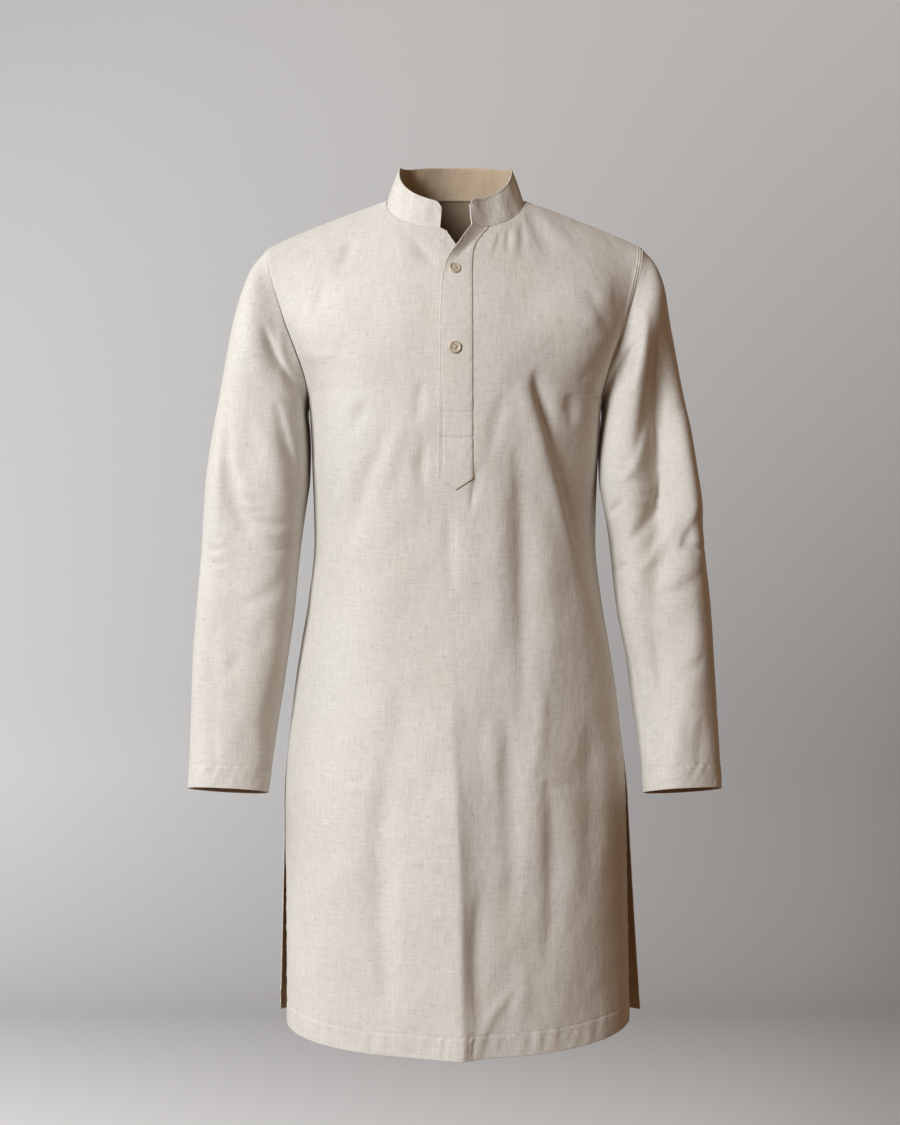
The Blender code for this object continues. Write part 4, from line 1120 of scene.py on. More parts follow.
def strip_grid(surface, bottom, top, width):
    shares = stops(width, STRIP_SPACING, STRIP_STOPS, STRIP_STOPS) / width
    heights = bottom + stops(top - bottom, STRIP_ROWS, STRIP_STOPS, STRIP_STOPS)
    share, height = np.meshgrid(shares, heights)
    points = surface(share, height)
    run, climb = run_length(points, 1), run_length(points, 0)
    return points, run, run[:, -1:] - run, climb, climb[-1:] - climb


print("strips are", OVER_WIDTH, "and", UNDER_WIDTH, "mm wide")

# %% [markdown]
# The over-placket's surface sinks under each line of stitching: one beside each long edge, two across it
# that close the box, and a third long one down the box's free side. Its sewn edge drops to the front.

# %% Over and under strips
FIXED_STITCH = 2.4
FREE_STITCH = 1.9
LONG_GROOVE = 0.3
FREE_GROOVE = 0.25
BOX_TOP = -263.5
BOX_BOTTOM = -291.5
BOX_GROOVE = 0.9
BOX_LEFT = 4.6
BOX_LEFT_FROM = -240.0
BOX_LEFT_TO = -322.0
BOX_LEFT_GROOVE = 0.6
BOX_LEFT_FADE = 6.0
PLACKET_PUCKER_WIDTH = 6.0
FIXED_PUCKER_PITCH, FIXED_PUCKER = 17.0, 0.18
FREE_PUCKER_PITCH, FREE_PUCKER = 19.0, 0.16
UNDER_STITCH = 2.2

grid = strip_grid(over_strip, OVER_END, OVER_TOP, OVER_WIDTH)
points, from_free, from_fixed, from_point, from_top = grid
level = points[..., 2]
lift = SEAM_GAP + OVER_WALL + stitched(from_fixed, FIXED_STITCH, LONG_GROOVE)
lift = lift + stitched(from_free, FREE_STITCH, FREE_GROOVE)
lift = lift - SEWN_EDGE_DROP * np.exp(-((from_fixed / SEWN_EDGE_WIDTH) ** 2))
for height in (BOX_TOP, BOX_BOTTOM):
    lift = lift + stitched(level - height, 0, BOX_GROOVE)
in_box = soft_step((BOX_LEFT_FROM - level) / BOX_LEFT_FADE)
lift = lift + stitched(from_free, BOX_LEFT, BOX_LEFT_GROOVE) * in_box
lift = lift + puckers(from_point, from_fixed, PLACKET_PUCKER_WIDTH, FIXED_PUCKER_PITCH, FIXED_PUCKER, 31)
lift = lift + puckers(from_point, from_free, PLACKET_PUCKER_WIDTH, FREE_PUCKER_PITCH, FREE_PUCKER, 33)
edge = np.minimum(np.minimum(from_free, from_fixed), np.minimum(from_point, from_top))
over_skin, over_inside = wall_skins(points, 1, OVER_WALL, lift, edge)
cloth_piece("placket_over_cloth", over_skin, over_inside, points[..., [0, 2]], 1)

grid = strip_grid(under_strip, UNDER_BOTTOM, UNDER_TOP, UNDER_WIDTH)
points, from_sewn, from_free, from_bottom, from_top = grid
lift = stitched(from_free, UNDER_STITCH, FREE_GROOVE) - UNDER_SUNK
edge = np.minimum(np.minimum(from_free, from_sewn), np.minimum(from_bottom, from_top))
under_skin, under_inside = wall_skins(points, 1, CLOTH_WALL, lift, edge)
cloth_piece("placket_under_cloth", under_skin, under_inside, points[..., [0, 2]], 1)

# %% [markdown]
# ## The band collar
#
# The collar is a doubled band with a stiffener between, so it stands up on the neckline and leans in a
# little. Its front ends are rounded and don't meet. It is stitched close to its top edge, and that thin
# turned rim catches the light.

# %% The collar
CollarPoint = namedtuple("CollarPoint", "share height")
COLLAR = (
    CollarPoint(0, 32),
    CollarPoint(0.08, 36),
    CollarPoint(0.26, 41),
    CollarPoint(0.5, 39),
    CollarPoint(0.74, 41),
    CollarPoint(0.92, 36),
    CollarPoint(1, 32),
)
COLLAR_LEAN = 6.0
COLLAR_SIDE_LEAN = 9.0
COLLAR_CORNER = 9.0
COLLAR_GAP = -0.9
COLLAR_WALL = 1.8
NECK_AXIS_Y = 3.0
COLLAR_HEIGHT = 38.0
COLLAR_SPACING = 2.6
COLLAR_ROWS = 1.6
COLLAR_EDGE_STITCH = 3.0
COLLAR_EDGE_GROOVE = 0.35
COLLAR_EDGE_PROUD = 0.25
COLLAR_SEAM_STITCH = 2.2
COLLAR_SEAM_GROOVE = 0.3
RIM_STEPS = 40
RIM_SPACING = 1.0
RIM_SMOOTHING = 70
OVERLAP_PROUD = 1.1
OVERLAP_FROM = 0.84
OVERLAP_FADE = 0.08
COLLAR_WAVES = slow_waves(17, 8, 1.2)
COLLAR_WAVES_ALONG = 2.2
COLLAR_WAVES_UP = 60.0
print("the collar is", COLLAR_WALL, "mm thick")

# %% [markdown]
# The collar stands on one line round the neck: the rims of the front and the back, and the top of the
# over-placket. The line is smoothed, so the band runs evenly where those pieces meet.

# %% The line round the neck
neck_share = CENTRE_SHARE + (1 - CENTRE_SHARE) * NECK_SHARE
front_rim = np.linspace(CENTRE_SHARE, neck_share, RIM_STEPS)
rim = np.concatenate(
    [
        torso(FRONT, -front_rim, 2.0),
        torso(BACK, np.linspace(-NECK_SHARE, NECK_SHARE, 2 * RIM_STEPS)[1:-1], 2.0),
        torso(FRONT, front_rim[::-1], 2.0)[:-2],
        over_skin[-1][::-1][4:],
    ]
)
rim[:, 2] += COLLAR_GAP
rough_run = run_length(rim[None], 1)[0]
rim_run = np.linspace(0, rough_run[-1], int(rough_run[-1] / RIM_SPACING))
rim = np.stack([np.interp(rim_run, rough_run, rim[:, axis]) for axis in range(3)], -1)
for _ in range(RIM_SMOOTHING):
    rim[1:-1] = (rim[:-2] + 2 * rim[1:-1] + rim[2:]) / 4
print("neck seam:", round(float(rim_run[-1])), "mm long")


# %% [markdown]
# From that line the band rises and leans in, most at the sides, with rounded ends and slow waves.

# %% The band
def collar(run, share):
    """A point of the collar's outside: run along the neck seam, share of its height."""
    base = np.stack([np.interp(run, rim_run, rim[:, axis]) for axis in range(3)], -1)
    away = base * np.array([1, 1, 0]) - np.array([0, NECK_AXIS_Y, 0])
    away /= np.linalg.norm(away, axis=-1, keepdims=True)
    from_end = np.clip(np.minimum(run, rim_run[-1] - run) / COLLAR_CORNER, 0, 1)
    rounded = COLLAR_CORNER * (1 - np.sqrt(1 - (1 - from_end) ** 2))
    height = read(COLLAR, "height", run / rim_run[-1], "share") - rounded
    lean = (COLLAR_LEAN + COLLAR_SIDE_LEAN * away[..., :1] ** 2) * share[..., None]
    waves = wave_rise(COLLAR_WAVES, COLLAR_WAVES_ALONG * run, COLLAR_WAVES_UP * share)
    soft = (waves * (share * (1 - share) * 4))[..., None]
    return base + (height * share)[..., None] * np.array([0, 0, 1]) - away * (lean - soft)


runs = stops(rim_run[-1], COLLAR_SPACING, STRIP_STOPS, STRIP_STOPS)
shares = stops(COLLAR_HEIGHT, COLLAR_ROWS, STRIP_STOPS, STRIP_STOPS) / COLLAR_HEIGHT
run, share = np.meshgrid(runs, shares)
points = collar(run, share)
climb = run_length(points, 0)
along = run_length(points, 1)
from_top = climb[-1:] - climb
from_end = np.minimum(along, along[:, -1:] - along)
edge = np.minimum(from_top, from_end)
lift = stitched(edge, COLLAR_EDGE_STITCH, COLLAR_EDGE_GROOVE)
lift = lift + COLLAR_EDGE_PROUD * turned(edge, COLLAR_EDGE_STITCH)
lift = lift + stitched(climb, COLLAR_SEAM_STITCH, COLLAR_SEAM_GROOVE)
lift = lift + OVERLAP_PROUD * soft_step((run / rim_run[-1] - OVERLAP_FROM) / OVERLAP_FADE)
collar_skin, collar_inside = wall_skins(points, -1, COLLAR_WALL, lift, np.minimum(edge, climb))
cloth_piece("collar_cloth", collar_skin, collar_inside, np.stack([run, climb], -1), -1)

# %% [markdown]
# ## Buttons
#
# Two round buttons, turned from a pale shell-like plastic: a raised rim, a dished middle and four holes,
# sewn on with a cross of thread. Each lies on the placket, tipped a little with the cloth under it.

# %% A turned and drilled shell
BUTTON_SIDES = 72
HOLE_RADIUS = 0.85
HOLE_SPACING = 3.4
HOLE_SIDES = 20
HOLE_DEPTH = 12.0
BUTTON_SHARP = math.radians(40)
BUTTON_PROFILE = (
    (0.0, 0.0), (5.6, 0.0), (6.5, 0.25), (6.9, 0.7), (7.0, 1.2), (6.9, 1.8), (6.5, 2.35), (6.0, 2.6),
    (5.5, 2.5), (5.1, 2.15), (4.7, 1.85), (4.0, 1.72), (2.4, 1.66), (0.0, 1.66),
)
hole_corners = [math.pi / 4 + math.pi / 2 * i for i in range(4)]
places = [Vector((math.cos(a), math.sin(a), 0)) * HOLE_SPACING / math.sqrt(2) for a in hole_corners]


def turned_shell(name):
    """The profile, turned about its axis."""
    mesh = bmesh.new()
    rings = []
    for across, up in BUTTON_PROFILE:
        angles = [2 * math.pi * i / BUTTON_SIDES for i in range(BUTTON_SIDES if across else 1)]
        rings.append([mesh.verts.new((across * math.cos(a), across * math.sin(a), up)) for a in angles])
    for low, high in zip(rings, rings[1:]):
        for i in range(BUTTON_SIDES):
            j = (i + 1) % BUTTON_SIDES
            if len(low) == 1:
                mesh.faces.new([low[0], high[j], high[i]])
            elif len(high) == 1:
                mesh.faces.new([low[i], low[j], high[0]])
            else:
                mesh.faces.new([low[i], low[j], high[j], high[i]])
    data = bpy.data.meshes.new(name)
    mesh.to_mesh(data)
    mesh.free()
    return data


def drilled_shell(name):
    """The turned shell with a hole at each place."""
    data = turned_shell(name)
    drill = bmesh.new()
    for place in places:
        bmesh.ops.create_cone(
            drill,
            cap_ends=True,
            segments=HOLE_SIDES,
            radius1=HOLE_RADIUS,
            radius2=HOLE_RADIUS,
            depth=HOLE_DEPTH,
            matrix=Matrix.Translation(place),
        )
    drill_data = bpy.data.meshes.new(name + "_drill")
    drill.to_mesh(drill_data)
    drill.free()
    piece = bpy.data.objects.new(name + "_turned", data)
    cutter = bpy.data.objects.new(name + "_drill", drill_data)
    for item in (piece, cutter):
        bpy.context.scene.collection.objects.link(item)
    holes = piece.modifiers.new("holes", "BOOLEAN")
    holes.object, holes.solver = cutter, "EXACT"
    graph = bpy.context.evaluated_depsgraph_get()
    drilled = bpy.data.meshes.new_from_object(piece.evaluated_get(graph))
    piece.modifiers.clear()
    piece.data = drilled
    bpy.data.objects.remove(cutter)
    drilled.polygons.foreach_set("use_smooth", [True] * len(drilled.polygons))
    drilled.set_sharp_from_angle(angle=BUTTON_SHARP)
    return piece


print("hole centres, mm:", [tuple(round(value, 2) for value in place.xy) for place in places])


# %% [markdown]
# The thread goes over the button in a cross of two doubled strands, each diving through its holes.

# %% A cross of thread
THREAD_RADIUS = 0.32
THREAD_APART = 0.6
THREAD_SHARES = (0.0, 0.06, 0.2, 0.5, 0.8, 0.94, 1.0)
THREAD_RISE = (-0.6, 1.5, 1.95)
THREAD_TOP = 2.1
THREAD_OVER = 0.25


def thread_cross(name, placed):
    thread = bpy.data.curves.new(name + "_thread", "CURVE")
    thread.dimensions = "3D"
    thread.bevel_depth = THREAD_RADIUS
    thread.bevel_resolution = 2
    for start, end in ((0, 2), (1, 3)):
        for shift in (-THREAD_APART / 2, THREAD_APART / 2):
            line = thread.splines.new("POLY")
            heights = (*THREAD_RISE, THREAD_TOP + THREAD_OVER * start, *THREAD_RISE[::-1])
            line.points.add(len(THREAD_SHARES) - 1)
            aside = (places[end] - places[start]).normalized().cross(Vector((0, 0, 1))) * shift
            for spot, share, up in zip(line.points, THREAD_SHARES, heights):
                spot.co = (*(places[start].lerp(places[end], share) + aside + Vector((0, 0, up))), 1)
    holder = bpy.data.objects.new(name + "_thread", thread)
    bpy.context.scene.collection.objects.link(holder)
    graph = bpy.context.evaluated_depsgraph_get()
    sewn_on = bpy.data.meshes.new_from_object(holder.evaluated_get(graph))
    bpy.data.objects.remove(holder)
    sewn_on.transform(placed)
    sewn_on.polygons.foreach_set("use_smooth", [True] * len(sewn_on.polygons))
    cross = bpy.data.objects.new(name + "_thread", sewn_on)
    bpy.context.scene.collection.objects.link(cross)
    return cross


print("the thread is", 2 * THREAD_RADIUS, "mm thick")

# %% [markdown]
# Each button is set on the nearest point of the over-placket and faces as the cloth does there, with a
# small turn and tip of its own.

# %% Buttons in place
BUTTON_X = -0.5
BUTTON_OFF = 0.5
BUTTON_TIP = 0.05
Button = namedtuple("Button", "height turn swing")
BUTTONS = {"button_upper": Button(-99.5, 0.2, 0.3), "button_lower": Button(-192.0, -0.5, 0.12)}
button_pieces = {}


def button(name, height, turn, swing):
    piece = drilled_shell(name)
    near = np.argmin((over_skin[..., 0] - BUTTON_X) ** 2 + (over_skin[..., 2] - height) ** 2)
    normal = Vector(skin_normals(over_skin, 1).reshape(-1, 3)[near])
    seat = Vector(over_skin.reshape(-1, 3)[near]) + BUTTON_OFF * normal
    tip = Matrix.Rotation(turn, 4, "Z") @ Matrix.Rotation(BUTTON_TIP, 4, "X")
    swung = Matrix.Rotation(swing, 4, "Z") @ normal.to_track_quat("Z", "Y").to_matrix().to_4x4()
    placed = Matrix.Translation(seat * MM) @ swung @ tip
    placed = placed @ Matrix.Scale(MM, 4)
    piece.data.transform(placed)
    cross = thread_cross(name, placed)
    button_pieces[name] = (piece, cross)


for name, (height, turn, swing) in BUTTONS.items():
    button(name, height, turn, swing)
    print(name, "at height", height, "with", len(button_pieces[name][0].data.polygons), "faces")

# %% [markdown]
# ## Stitching
#
# Every hem, the placket, the collar and one armhole are topstitched. Each stitch is a short length of
# thread that dives into the cloth at both ends, so the line is a row of small lights and not a stripe.
# They are laid out from the finished skins: a line is found at a fixed distance from an edge, stepped off
# at the stitch pitch, and one small thread is placed on each step and joined into one mesh per piece.

# %% Lines of stitches
STITCH_PITCH = 3.1
STITCH_LENGTH = 2.3
STITCH_RADIUS = 0.24
STITCH_SIDES = 5
STITCH_RAISED = 0.12
STITCH_AIM = 0.6
StitchRing = namedtuple("StitchRing", "place size height")
STITCH_SHAPE = (
    StitchRing(-0.5, 0.3, -0.28),
    StitchRing(-0.36, 0.95, -0.02),
    StitchRing(0.36, 0.95, -0.02),
    StitchRing(0.5, 0.3, -0.28),
)
ARMHOLE_STITCHED_FROM = 1.02


def line_from_edge(skin, distance, axis, far=False, looped=False):
    """The line on a skin that keeps one distance from its first edge, or from its far one."""
    run = run_length(skin, axis)
    if far:
        run = run.take([-1], axis) - run
    if axis == 0:
        skin, run = skin.swapaxes(0, 1), run.swapaxes(0, 1)
    if far:
        skin, run = skin[:, ::-1], run[:, ::-1]
    line = [[np.interp(distance, row, coords[:, i]) for row, coords in zip(run, skin)] for i in range(3)]
    line = np.stack(line, -1)
    return np.concatenate([line, line[:1]]) if looped else line


def nearest_normals(skin, facing, spots):
    normals = skin_normals(skin, facing).reshape(-1, 3)
    points = skin.reshape(-1, 3)
    found = [np.argmin(((points - spot) ** 2).sum(1)) for spot in spots]
    return normals[found]


def stitches(name, lines):
    """One mesh of stitches along lines, each given as (polyline, skin, facing)."""
    points, faces, count = [], [], 0
    for line, skin, facing in lines:
        run = run_length(line[None], 1)[0]
        steps = np.arange(STITCH_PITCH / 2, run[-1], STITCH_PITCH)
        spot = np.stack([np.interp(steps, run, line[:, i]) for i in range(3)], -1)
        ahead = np.stack([np.interp(steps + STITCH_AIM, run, line[:, i]) for i in range(3)], -1)
        behind = np.stack([np.interp(steps - STITCH_AIM, run, line[:, i]) for i in range(3)], -1)
        along = ahead - behind
        along /= np.linalg.norm(along, axis=1, keepdims=True)
        up = nearest_normals(skin, facing, spot)
        aside = np.cross(up, along)
        aside /= np.linalg.norm(aside, axis=1, keepdims=True)
        up = np.cross(along, aside)
        for place, size, height in STITCH_SHAPE:
            for i in range(STITCH_SIDES):
                angle = 2 * math.pi * i / STITCH_SIDES
                out = math.cos(angle) * aside + math.sin(angle) * up
                offset = place * STITCH_LENGTH * along + height * up + size * STITCH_RADIUS * out
                points.append(spot + offset + STITCH_RAISED * up)
        block = len(STITCH_SHAPE) * STITCH_SIDES
        per_stitch = np.stack(points[-block:], 1).reshape(-1, 3)
        points[-block:] = [per_stitch]
        shape = []
        for ring in range(len(STITCH_SHAPE) - 1):
            for i in range(STITCH_SIDES):
                j = (i + 1) % STITCH_SIDES
                low, high = ring * STITCH_SIDES, (ring + 1) * STITCH_SIDES
                shape.append((low + i, low + j, high + j, high + i))
        starts = count + block * np.arange(len(steps))
        faces += [tuple(start + corner for corner in face) for start in starts for face in shape]
        count += block * len(steps)
    data = bpy.data.meshes.new(name)
    data.from_pydata((np.concatenate(points) * MM).tolist(), [], faces)
    data.polygons.foreach_set("use_smooth", [True] * len(data.polygons))
    piece = bpy.data.objects.new(name, data)
    bpy.context.scene.collection.objects.link(piece)
    made[name] = piece
    print(f"{name}: {count // block} stitches")


def between_heights(line, low, high):
    return line[(line[:, 2] > low) & (line[:, 2] < high)]


def slit_line(skin, far):
    """The stitching beside one slit, from the hem up to the slit's top."""
    return between_heights(line_from_edge(skin, SLIT_HEM - 1, 1, far), BACK_HEM, SLIT_TOP)


print("a stitch is", STITCH_LENGTH, "mm long, on a pitch of", STITCH_PITCH, "mm")

# %% [markdown]
# The hems, slits, cuffs and collar get their rows, and so does the armhole on the wearer's left.

# %% Stitching of the panels, sleeves and collar
hem_line = line_from_edge(front_skin, HEM_DEPTH, 0)
side_lines = [slit_line(front_skin, far) for far in (False, True)]
shoulder = front_skin[front_along > ARMHOLE_STITCHED_FROM]
band_lines = [line_from_edge(shoulder, line, 1, True)[:-2] for line in ARMHOLE_LINES]
stitches("front_stitching", [(line, front_skin, 1) for line in [hem_line, *side_lines, *band_lines]])
back_hem_line = line_from_edge(back_skin, HEM_DEPTH, 0)
back_lines = [slit_line(back_skin, far) for far in (False, True)]
stitches("back_stitching", [(line, back_skin, -1) for line in [back_hem_line, *back_lines]])
for side, name in ((LEFT, "sleeve_left_stitching"), (RIGHT, "sleeve_right_stitching")):
    skin = sleeve_skins[side]
    stitches(name, [(line_from_edge(skin, CUFF_HEM, 0, True, True), skin, side)])
collar_lines = [
    line_from_edge(collar_skin, COLLAR_EDGE_STITCH, 0, True)[4:-4],
    line_from_edge(collar_skin, COLLAR_SEAM_STITCH, 0)[4:-4],
]
stitches("collar_stitching", [(line, collar_skin, -1) for line in collar_lines])

# %% [markdown]
# The placket is stitched along both long edges, across and beside the box that closes it, and along its
# point.

# %% The placket's box and point
def level_line(skin, height):
    """The line across a strip at one height."""
    columns = skin.swapaxes(0, 1)
    line = [[np.interp(height, column[:, 2], column[:, i]) for column in columns] for i in range(3)]
    return np.stack(line, -1)


POINT_STITCH = 2.2

free_line = line_from_edge(over_skin, FREE_STITCH, 1)[6:]
fixed_line = line_from_edge(over_skin, FIXED_STITCH, 1, True)[6:]
box_line = between_heights(line_from_edge(over_skin, BOX_LEFT, 1), BOX_LEFT_TO, BOX_LEFT_FROM)
point_line = line_from_edge(over_skin, POINT_STITCH, 0)[2:-2]
across_lines = [level_line(over_skin, height)[2:-2] for height in (BOX_TOP, BOX_BOTTOM)]
placket_lines = [free_line, fixed_line, box_line, point_line, *across_lines]
stitches("placket_stitching", [(line, over_skin, 1) for line in placket_lines])

# %% [markdown]
# ## Linen
#
# The cloth is an undyed plain weave, off-white with a little warmth. Linen yarn is never even: it has
# slubs, thick places a few centimetres long, that show as pale and dark streaks along the warp and
# across it on the weft. The shader works in millimetres of flat cloth, read from the cut, so its weave
# keeps one scale everywhere. The pattern was built from threads outwards: a plain weave for the bump,
# streaked noise for the slubs, rare short neps, and slow changes for wear and handling.
#
# A small class wraps a shader socket so that the arithmetic below reads like arithmetic.

# %% A socket that does arithmetic
class Link:
    def __init__(self, tree, socket):
        self.tree, self.socket = tree, socket

    def math(self, operation, other=None, swap=False):
        node = self.tree.nodes.new("ShaderNodeMath")
        node.operation = operation
        values = [self, other] if other is not None else [self]
        for socket, value in zip(node.inputs, reversed(values) if swap else values):
            if isinstance(value, Link):
                self.tree.links.new(value.socket, socket)
            else:
                socket.default_value = value
        return Link(self.tree, node.outputs[0])

    def __add__(self, other):
        return self.math("ADD", other)

    def __sub__(self, other):
        return self.math("SUBTRACT", other)

    def __mul__(self, other):
        return self.math("MULTIPLY", other)

    def __rsub__(self, other):
        return self.math("SUBTRACT", other, swap=True)

    __radd__, __rmul__ = __add__, __mul__

    def node(self, kind, settings=None, output=0, **values):
        """Any other node: its settings first, then a value or link for each named socket."""
        made_node = self.tree.nodes.new(kind)
        for key, value in (settings or {}).items():
            if key == "stops":
                for stop, (place, shade) in zip(made_node.color_ramp.elements, value):
                    stop.position, stop.color = place, (shade, shade, shade, 1)
            else:
                setattr(made_node, key, value)
        for key, value in values.items():
            socket = made_node.inputs[key.replace("_", " ")]
            if isinstance(value, Link):
                self.tree.links.new(value.socket, socket)
            else:
                socket.default_value = value
        return Link(self.tree, made_node.outputs[output])


print("sockets now add, subtract and multiply")

# %% [markdown]
# The weave is two sets of waves, one for each direction of thread, and the slubs are noise drawn out
# along them. Fine relief comes from the threads, and a softer one leaves the cloth a little crumpled.

# %% The linen itself
THREAD_PITCH = 0.72
LINEN = (0.700, 0.673, 0.637)
# The wrong side is painted a darker brown than the linen: painted shade for the inside of the tunic.
LINEN_WRONG_SIDE_PAINTED_SHADE = (0.480, 0.370, 0.265)
SLUB_SHARE = 0.17
NEP_SHARE = 0.16
WEAR_SHARE = 0.05
MOTTLE_SHARE = 0.03
THREAD_WANDER = 1.4
BROAD_SLUB, FINE_SLUB = 0.7, 1.1
WARM_TINT = (1.0, 0.985, 0.955, 1.0)
SHEEN_TINT = (1.0, 0.96, 0.90, 1.0)


def linen(name, colour, turn=0.0, slub=1.0, crumple=1.0):
    """A plain-weave linen; turn shifts its noise so that no two pieces repeat."""
    material = bpy.data.materials.new(name)
    material.use_nodes = True
    tree = material.node_tree
    shader = tree.nodes["Principled BSDF"]
    cut = tree.nodes.new("ShaderNodeUVMap")
    cut.uv_map = "cut"
    flat = Link(tree, cut.outputs[0])
    mm = flat.node("ShaderNodeVectorMath", {"operation": "SCALE"}, Vector=flat, Scale=1 / MM)
    if turn:
        shift = (turn, 1.7 * turn, 0.0)
        mm = mm.node("ShaderNodeVectorMath", {"operation": "ADD"}, Vector=mm)
        mm.socket.node.inputs[1].default_value = shift

    def noise(across, down, detail=2.0, rough=0.5):
        """Noise between 0 and 1 with grains of these sizes across and down the cloth, in millimetres."""
        scaled = mm.node("ShaderNodeVectorMath", {"operation": "MULTIPLY"}, Vector=mm)
        scaled.socket.node.inputs[1].default_value = (1 / across, 1 / down, 1)
        sizes = {"Vector": scaled, "Scale": 1.0, "Detail": detail, "Roughness": rough}
        return mm.node("ShaderNodeTexNoise", {"noise_dimensions": "2D"}, **sizes)

    def ramp(value, low, high):
        return value.node("ShaderNodeMapRange", Value=value, From_Min=low, From_Max=high)

    split = mm.node("ShaderNodeSeparateXYZ", Vector=mm)
    across = Link(tree, split.socket.node.outputs["X"])
    down = Link(tree, split.socket.node.outputs["Y"])
    wander_x = (noise(9, 60) - 0.5) * THREAD_WANDER
    weave_x = ((across + wander_x) * (math.pi / THREAD_PITCH)).math("SINE")
    wander_y = (noise(60, 9) - 0.5) * THREAD_WANDER
    weave_y = ((down + wander_y) * (math.pi / THREAD_PITCH)).math("SINE")
    crossing = weave_x * weave_y
    warp = weave_x.math("ABSOLUTE") * 0.6 + crossing * 0.4
    weft = weave_y.math("ABSOLUTE") * 0.6 - crossing * 0.4
    weave = warp.math("MAXIMUM", weft)

    warp_yarn = (noise(2.2, 40, 1.0) - 0.5) * BROAD_SLUB + (noise(0.9, 17, 1.0) - 0.5) * FINE_SLUB
    weft_yarn = (noise(34, 2.2, 1.0) - 0.5) * BROAD_SLUB + (noise(14, 0.9, 1.0) - 0.5) * FINE_SLUB
    slubs = warp_yarn + weft_yarn
    neps = ramp(noise(9, 1.5, 0.0), 0.80, 0.87) + ramp(noise(1.4, 8, 0.0), 0.81, 0.87)
    worn = noise(60, 110, 3.0) - 0.5
    mottle = noise(7, 13, 3.0, 0.6) - 0.5

    shade = 1 + slubs * (SLUB_SHARE * slub) - neps * NEP_SHARE + worn * WEAR_SHARE + mottle * MOTTLE_SHARE
    shade = shade * (0.94 + weave * 0.08)
    tinted = mm.node("ShaderNodeVectorMath", {"operation": "SCALE"}, Vector=(*colour,), Scale=shade)
    warm = tinted.node("ShaderNodeMix", {"data_type": "RGBA", "blend_type": "MULTIPLY"}, output=2)
    mix = warm.socket.node
    mix.inputs[0].default_value = 1.0
    tree.links.new(tinted.socket, mix.inputs[6])
    tint = warm.node("ShaderNodeMix", {"data_type": "RGBA"}, output=2)
    tree.links.new(ramp(noise(90, 160, 2.0), 0.35, 0.75).socket, tint.socket.node.inputs[0])
    tint.socket.node.inputs[6].default_value = (1.0, 1.0, 1.0, 1.0)
    tint.socket.node.inputs[7].default_value = WARM_TINT
    tree.links.new(tint.socket, mix.inputs[7])
    tree.links.new(warm.socket, shader.inputs["Base Color"])

    rough = 0.88 + worn * 0.10 - neps * 0.05
    tree.links.new(rough.socket, shader.inputs["Roughness"])
    relief = weave * 0.10 + slubs * 0.22 + neps * 0.16
    threads = relief.node("ShaderNodeBump", Height=relief, Distance=MM, Strength=0.55)
    soft = (noise(11, 19, 2.0, 0.5) * 0.8 + noise(30, 46, 2.0) * 2.6) * crumple
    crumpled = soft.node("ShaderNodeBump", Height=soft, Distance=0.9 * MM, Strength=0.5, Normal=threads)
    tree.links.new(crumpled.socket, shader.inputs["Normal"])
    shader.inputs["Sheen Weight"].default_value = 0.25
    shader.inputs["Sheen Roughness"].default_value = 0.5
    shader.inputs["Sheen Tint"].default_value = SHEEN_TINT
    shader.inputs["Specular IOR Level"].default_value = 0.25
    return material


right_sides = {
    "front_cloth": linen("linen_front", LINEN),
    "back_cloth": linen("linen_back", LINEN, 310.0),
    "sleeve_left_cloth": linen("linen_sleeve_left", LINEN, 730.0),
    "sleeve_right_cloth": linen("linen_sleeve_right", LINEN, 1190.0),
    "collar_cloth": linen("linen_collar", LINEN, 1570.0, crumple=1.6),
    "placket_over_cloth": linen("linen_placket", LINEN, 1930.0, crumple=0.8),
    "placket_under_cloth": linen("linen_placket_under", LINEN, 2210.0),
}
# The wrong side's darker brown colour is painted shade for the inside of the tunic.
wrong_side_painted_shade = linen("linen_wrong_side_painted_shade", LINEN_WRONG_SIDE_PAINTED_SHADE, 90.0, slub=0.7)
for name, material in right_sides.items():
    made[name].data.materials.append(material)
    made[name].data.materials.append(wrong_side_painted_shade)
print("linen finishes:", len(right_sides), "for right sides and one wrong side")


# %% [markdown]
# Thread and button shell are plain finishes, each with one small grain in its colour and relief.

# %% Thread and buttons
def plain_finish(name, colour, rough, grain, share, bump, coat=0.0, sheen=0.0):
    """A finish with one small grain in its colour and relief, sized in millimetres."""
    material = bpy.data.materials.new(name)
    material.use_nodes = True
    tree = material.node_tree
    shader = tree.nodes["Principled BSDF"]
    place = Link(tree, tree.nodes.new("ShaderNodeTexCoord").outputs["Object"])
    fine = place.node("ShaderNodeTexNoise", Vector=place, Scale=1 / (grain * MM), Detail=3.0)
    shade = 1 + (fine - 0.5) * share
    tinted = place.node("ShaderNodeVectorMath", {"operation": "SCALE"}, Vector=(*colour,), Scale=shade)
    tree.links.new(tinted.socket, shader.inputs["Base Color"])
    tree.links.new((rough + (fine - 0.5) * 0.2).socket, shader.inputs["Roughness"])
    raised = fine.node("ShaderNodeBump", Height=fine, Distance=bump * MM, Strength=0.6)
    tree.links.new(raised.socket, shader.inputs["Normal"])
    shader.inputs["Coat Weight"].default_value = coat
    shader.inputs["Sheen Weight"].default_value = sheen
    return material


THREAD_COLOUR = (0.62, 0.57, 0.49)
SHELL_COLOUR = (0.60, 0.51, 0.39)

thread = plain_finish("thread", THREAD_COLOUR, 0.75, 0.5, 0.35, 0.08, sheen=0.3)
shell = plain_finish("button_shell", SHELL_COLOUR, 0.34, 2.6, 0.30, 0.05, coat=0.25)
for name in list(made):
    if name.endswith("_stitching"):
        made[name].data.materials.append(thread)
for piece, cross in button_pieces.values():
    piece.data.materials.clear()
    piece.data.materials.append(shell)
    cross.data.materials.clear()
    cross.data.materials.append(thread)
print("thread on", sum(name.endswith("_stitching") for name in made), "sets of stitches and both buttons")
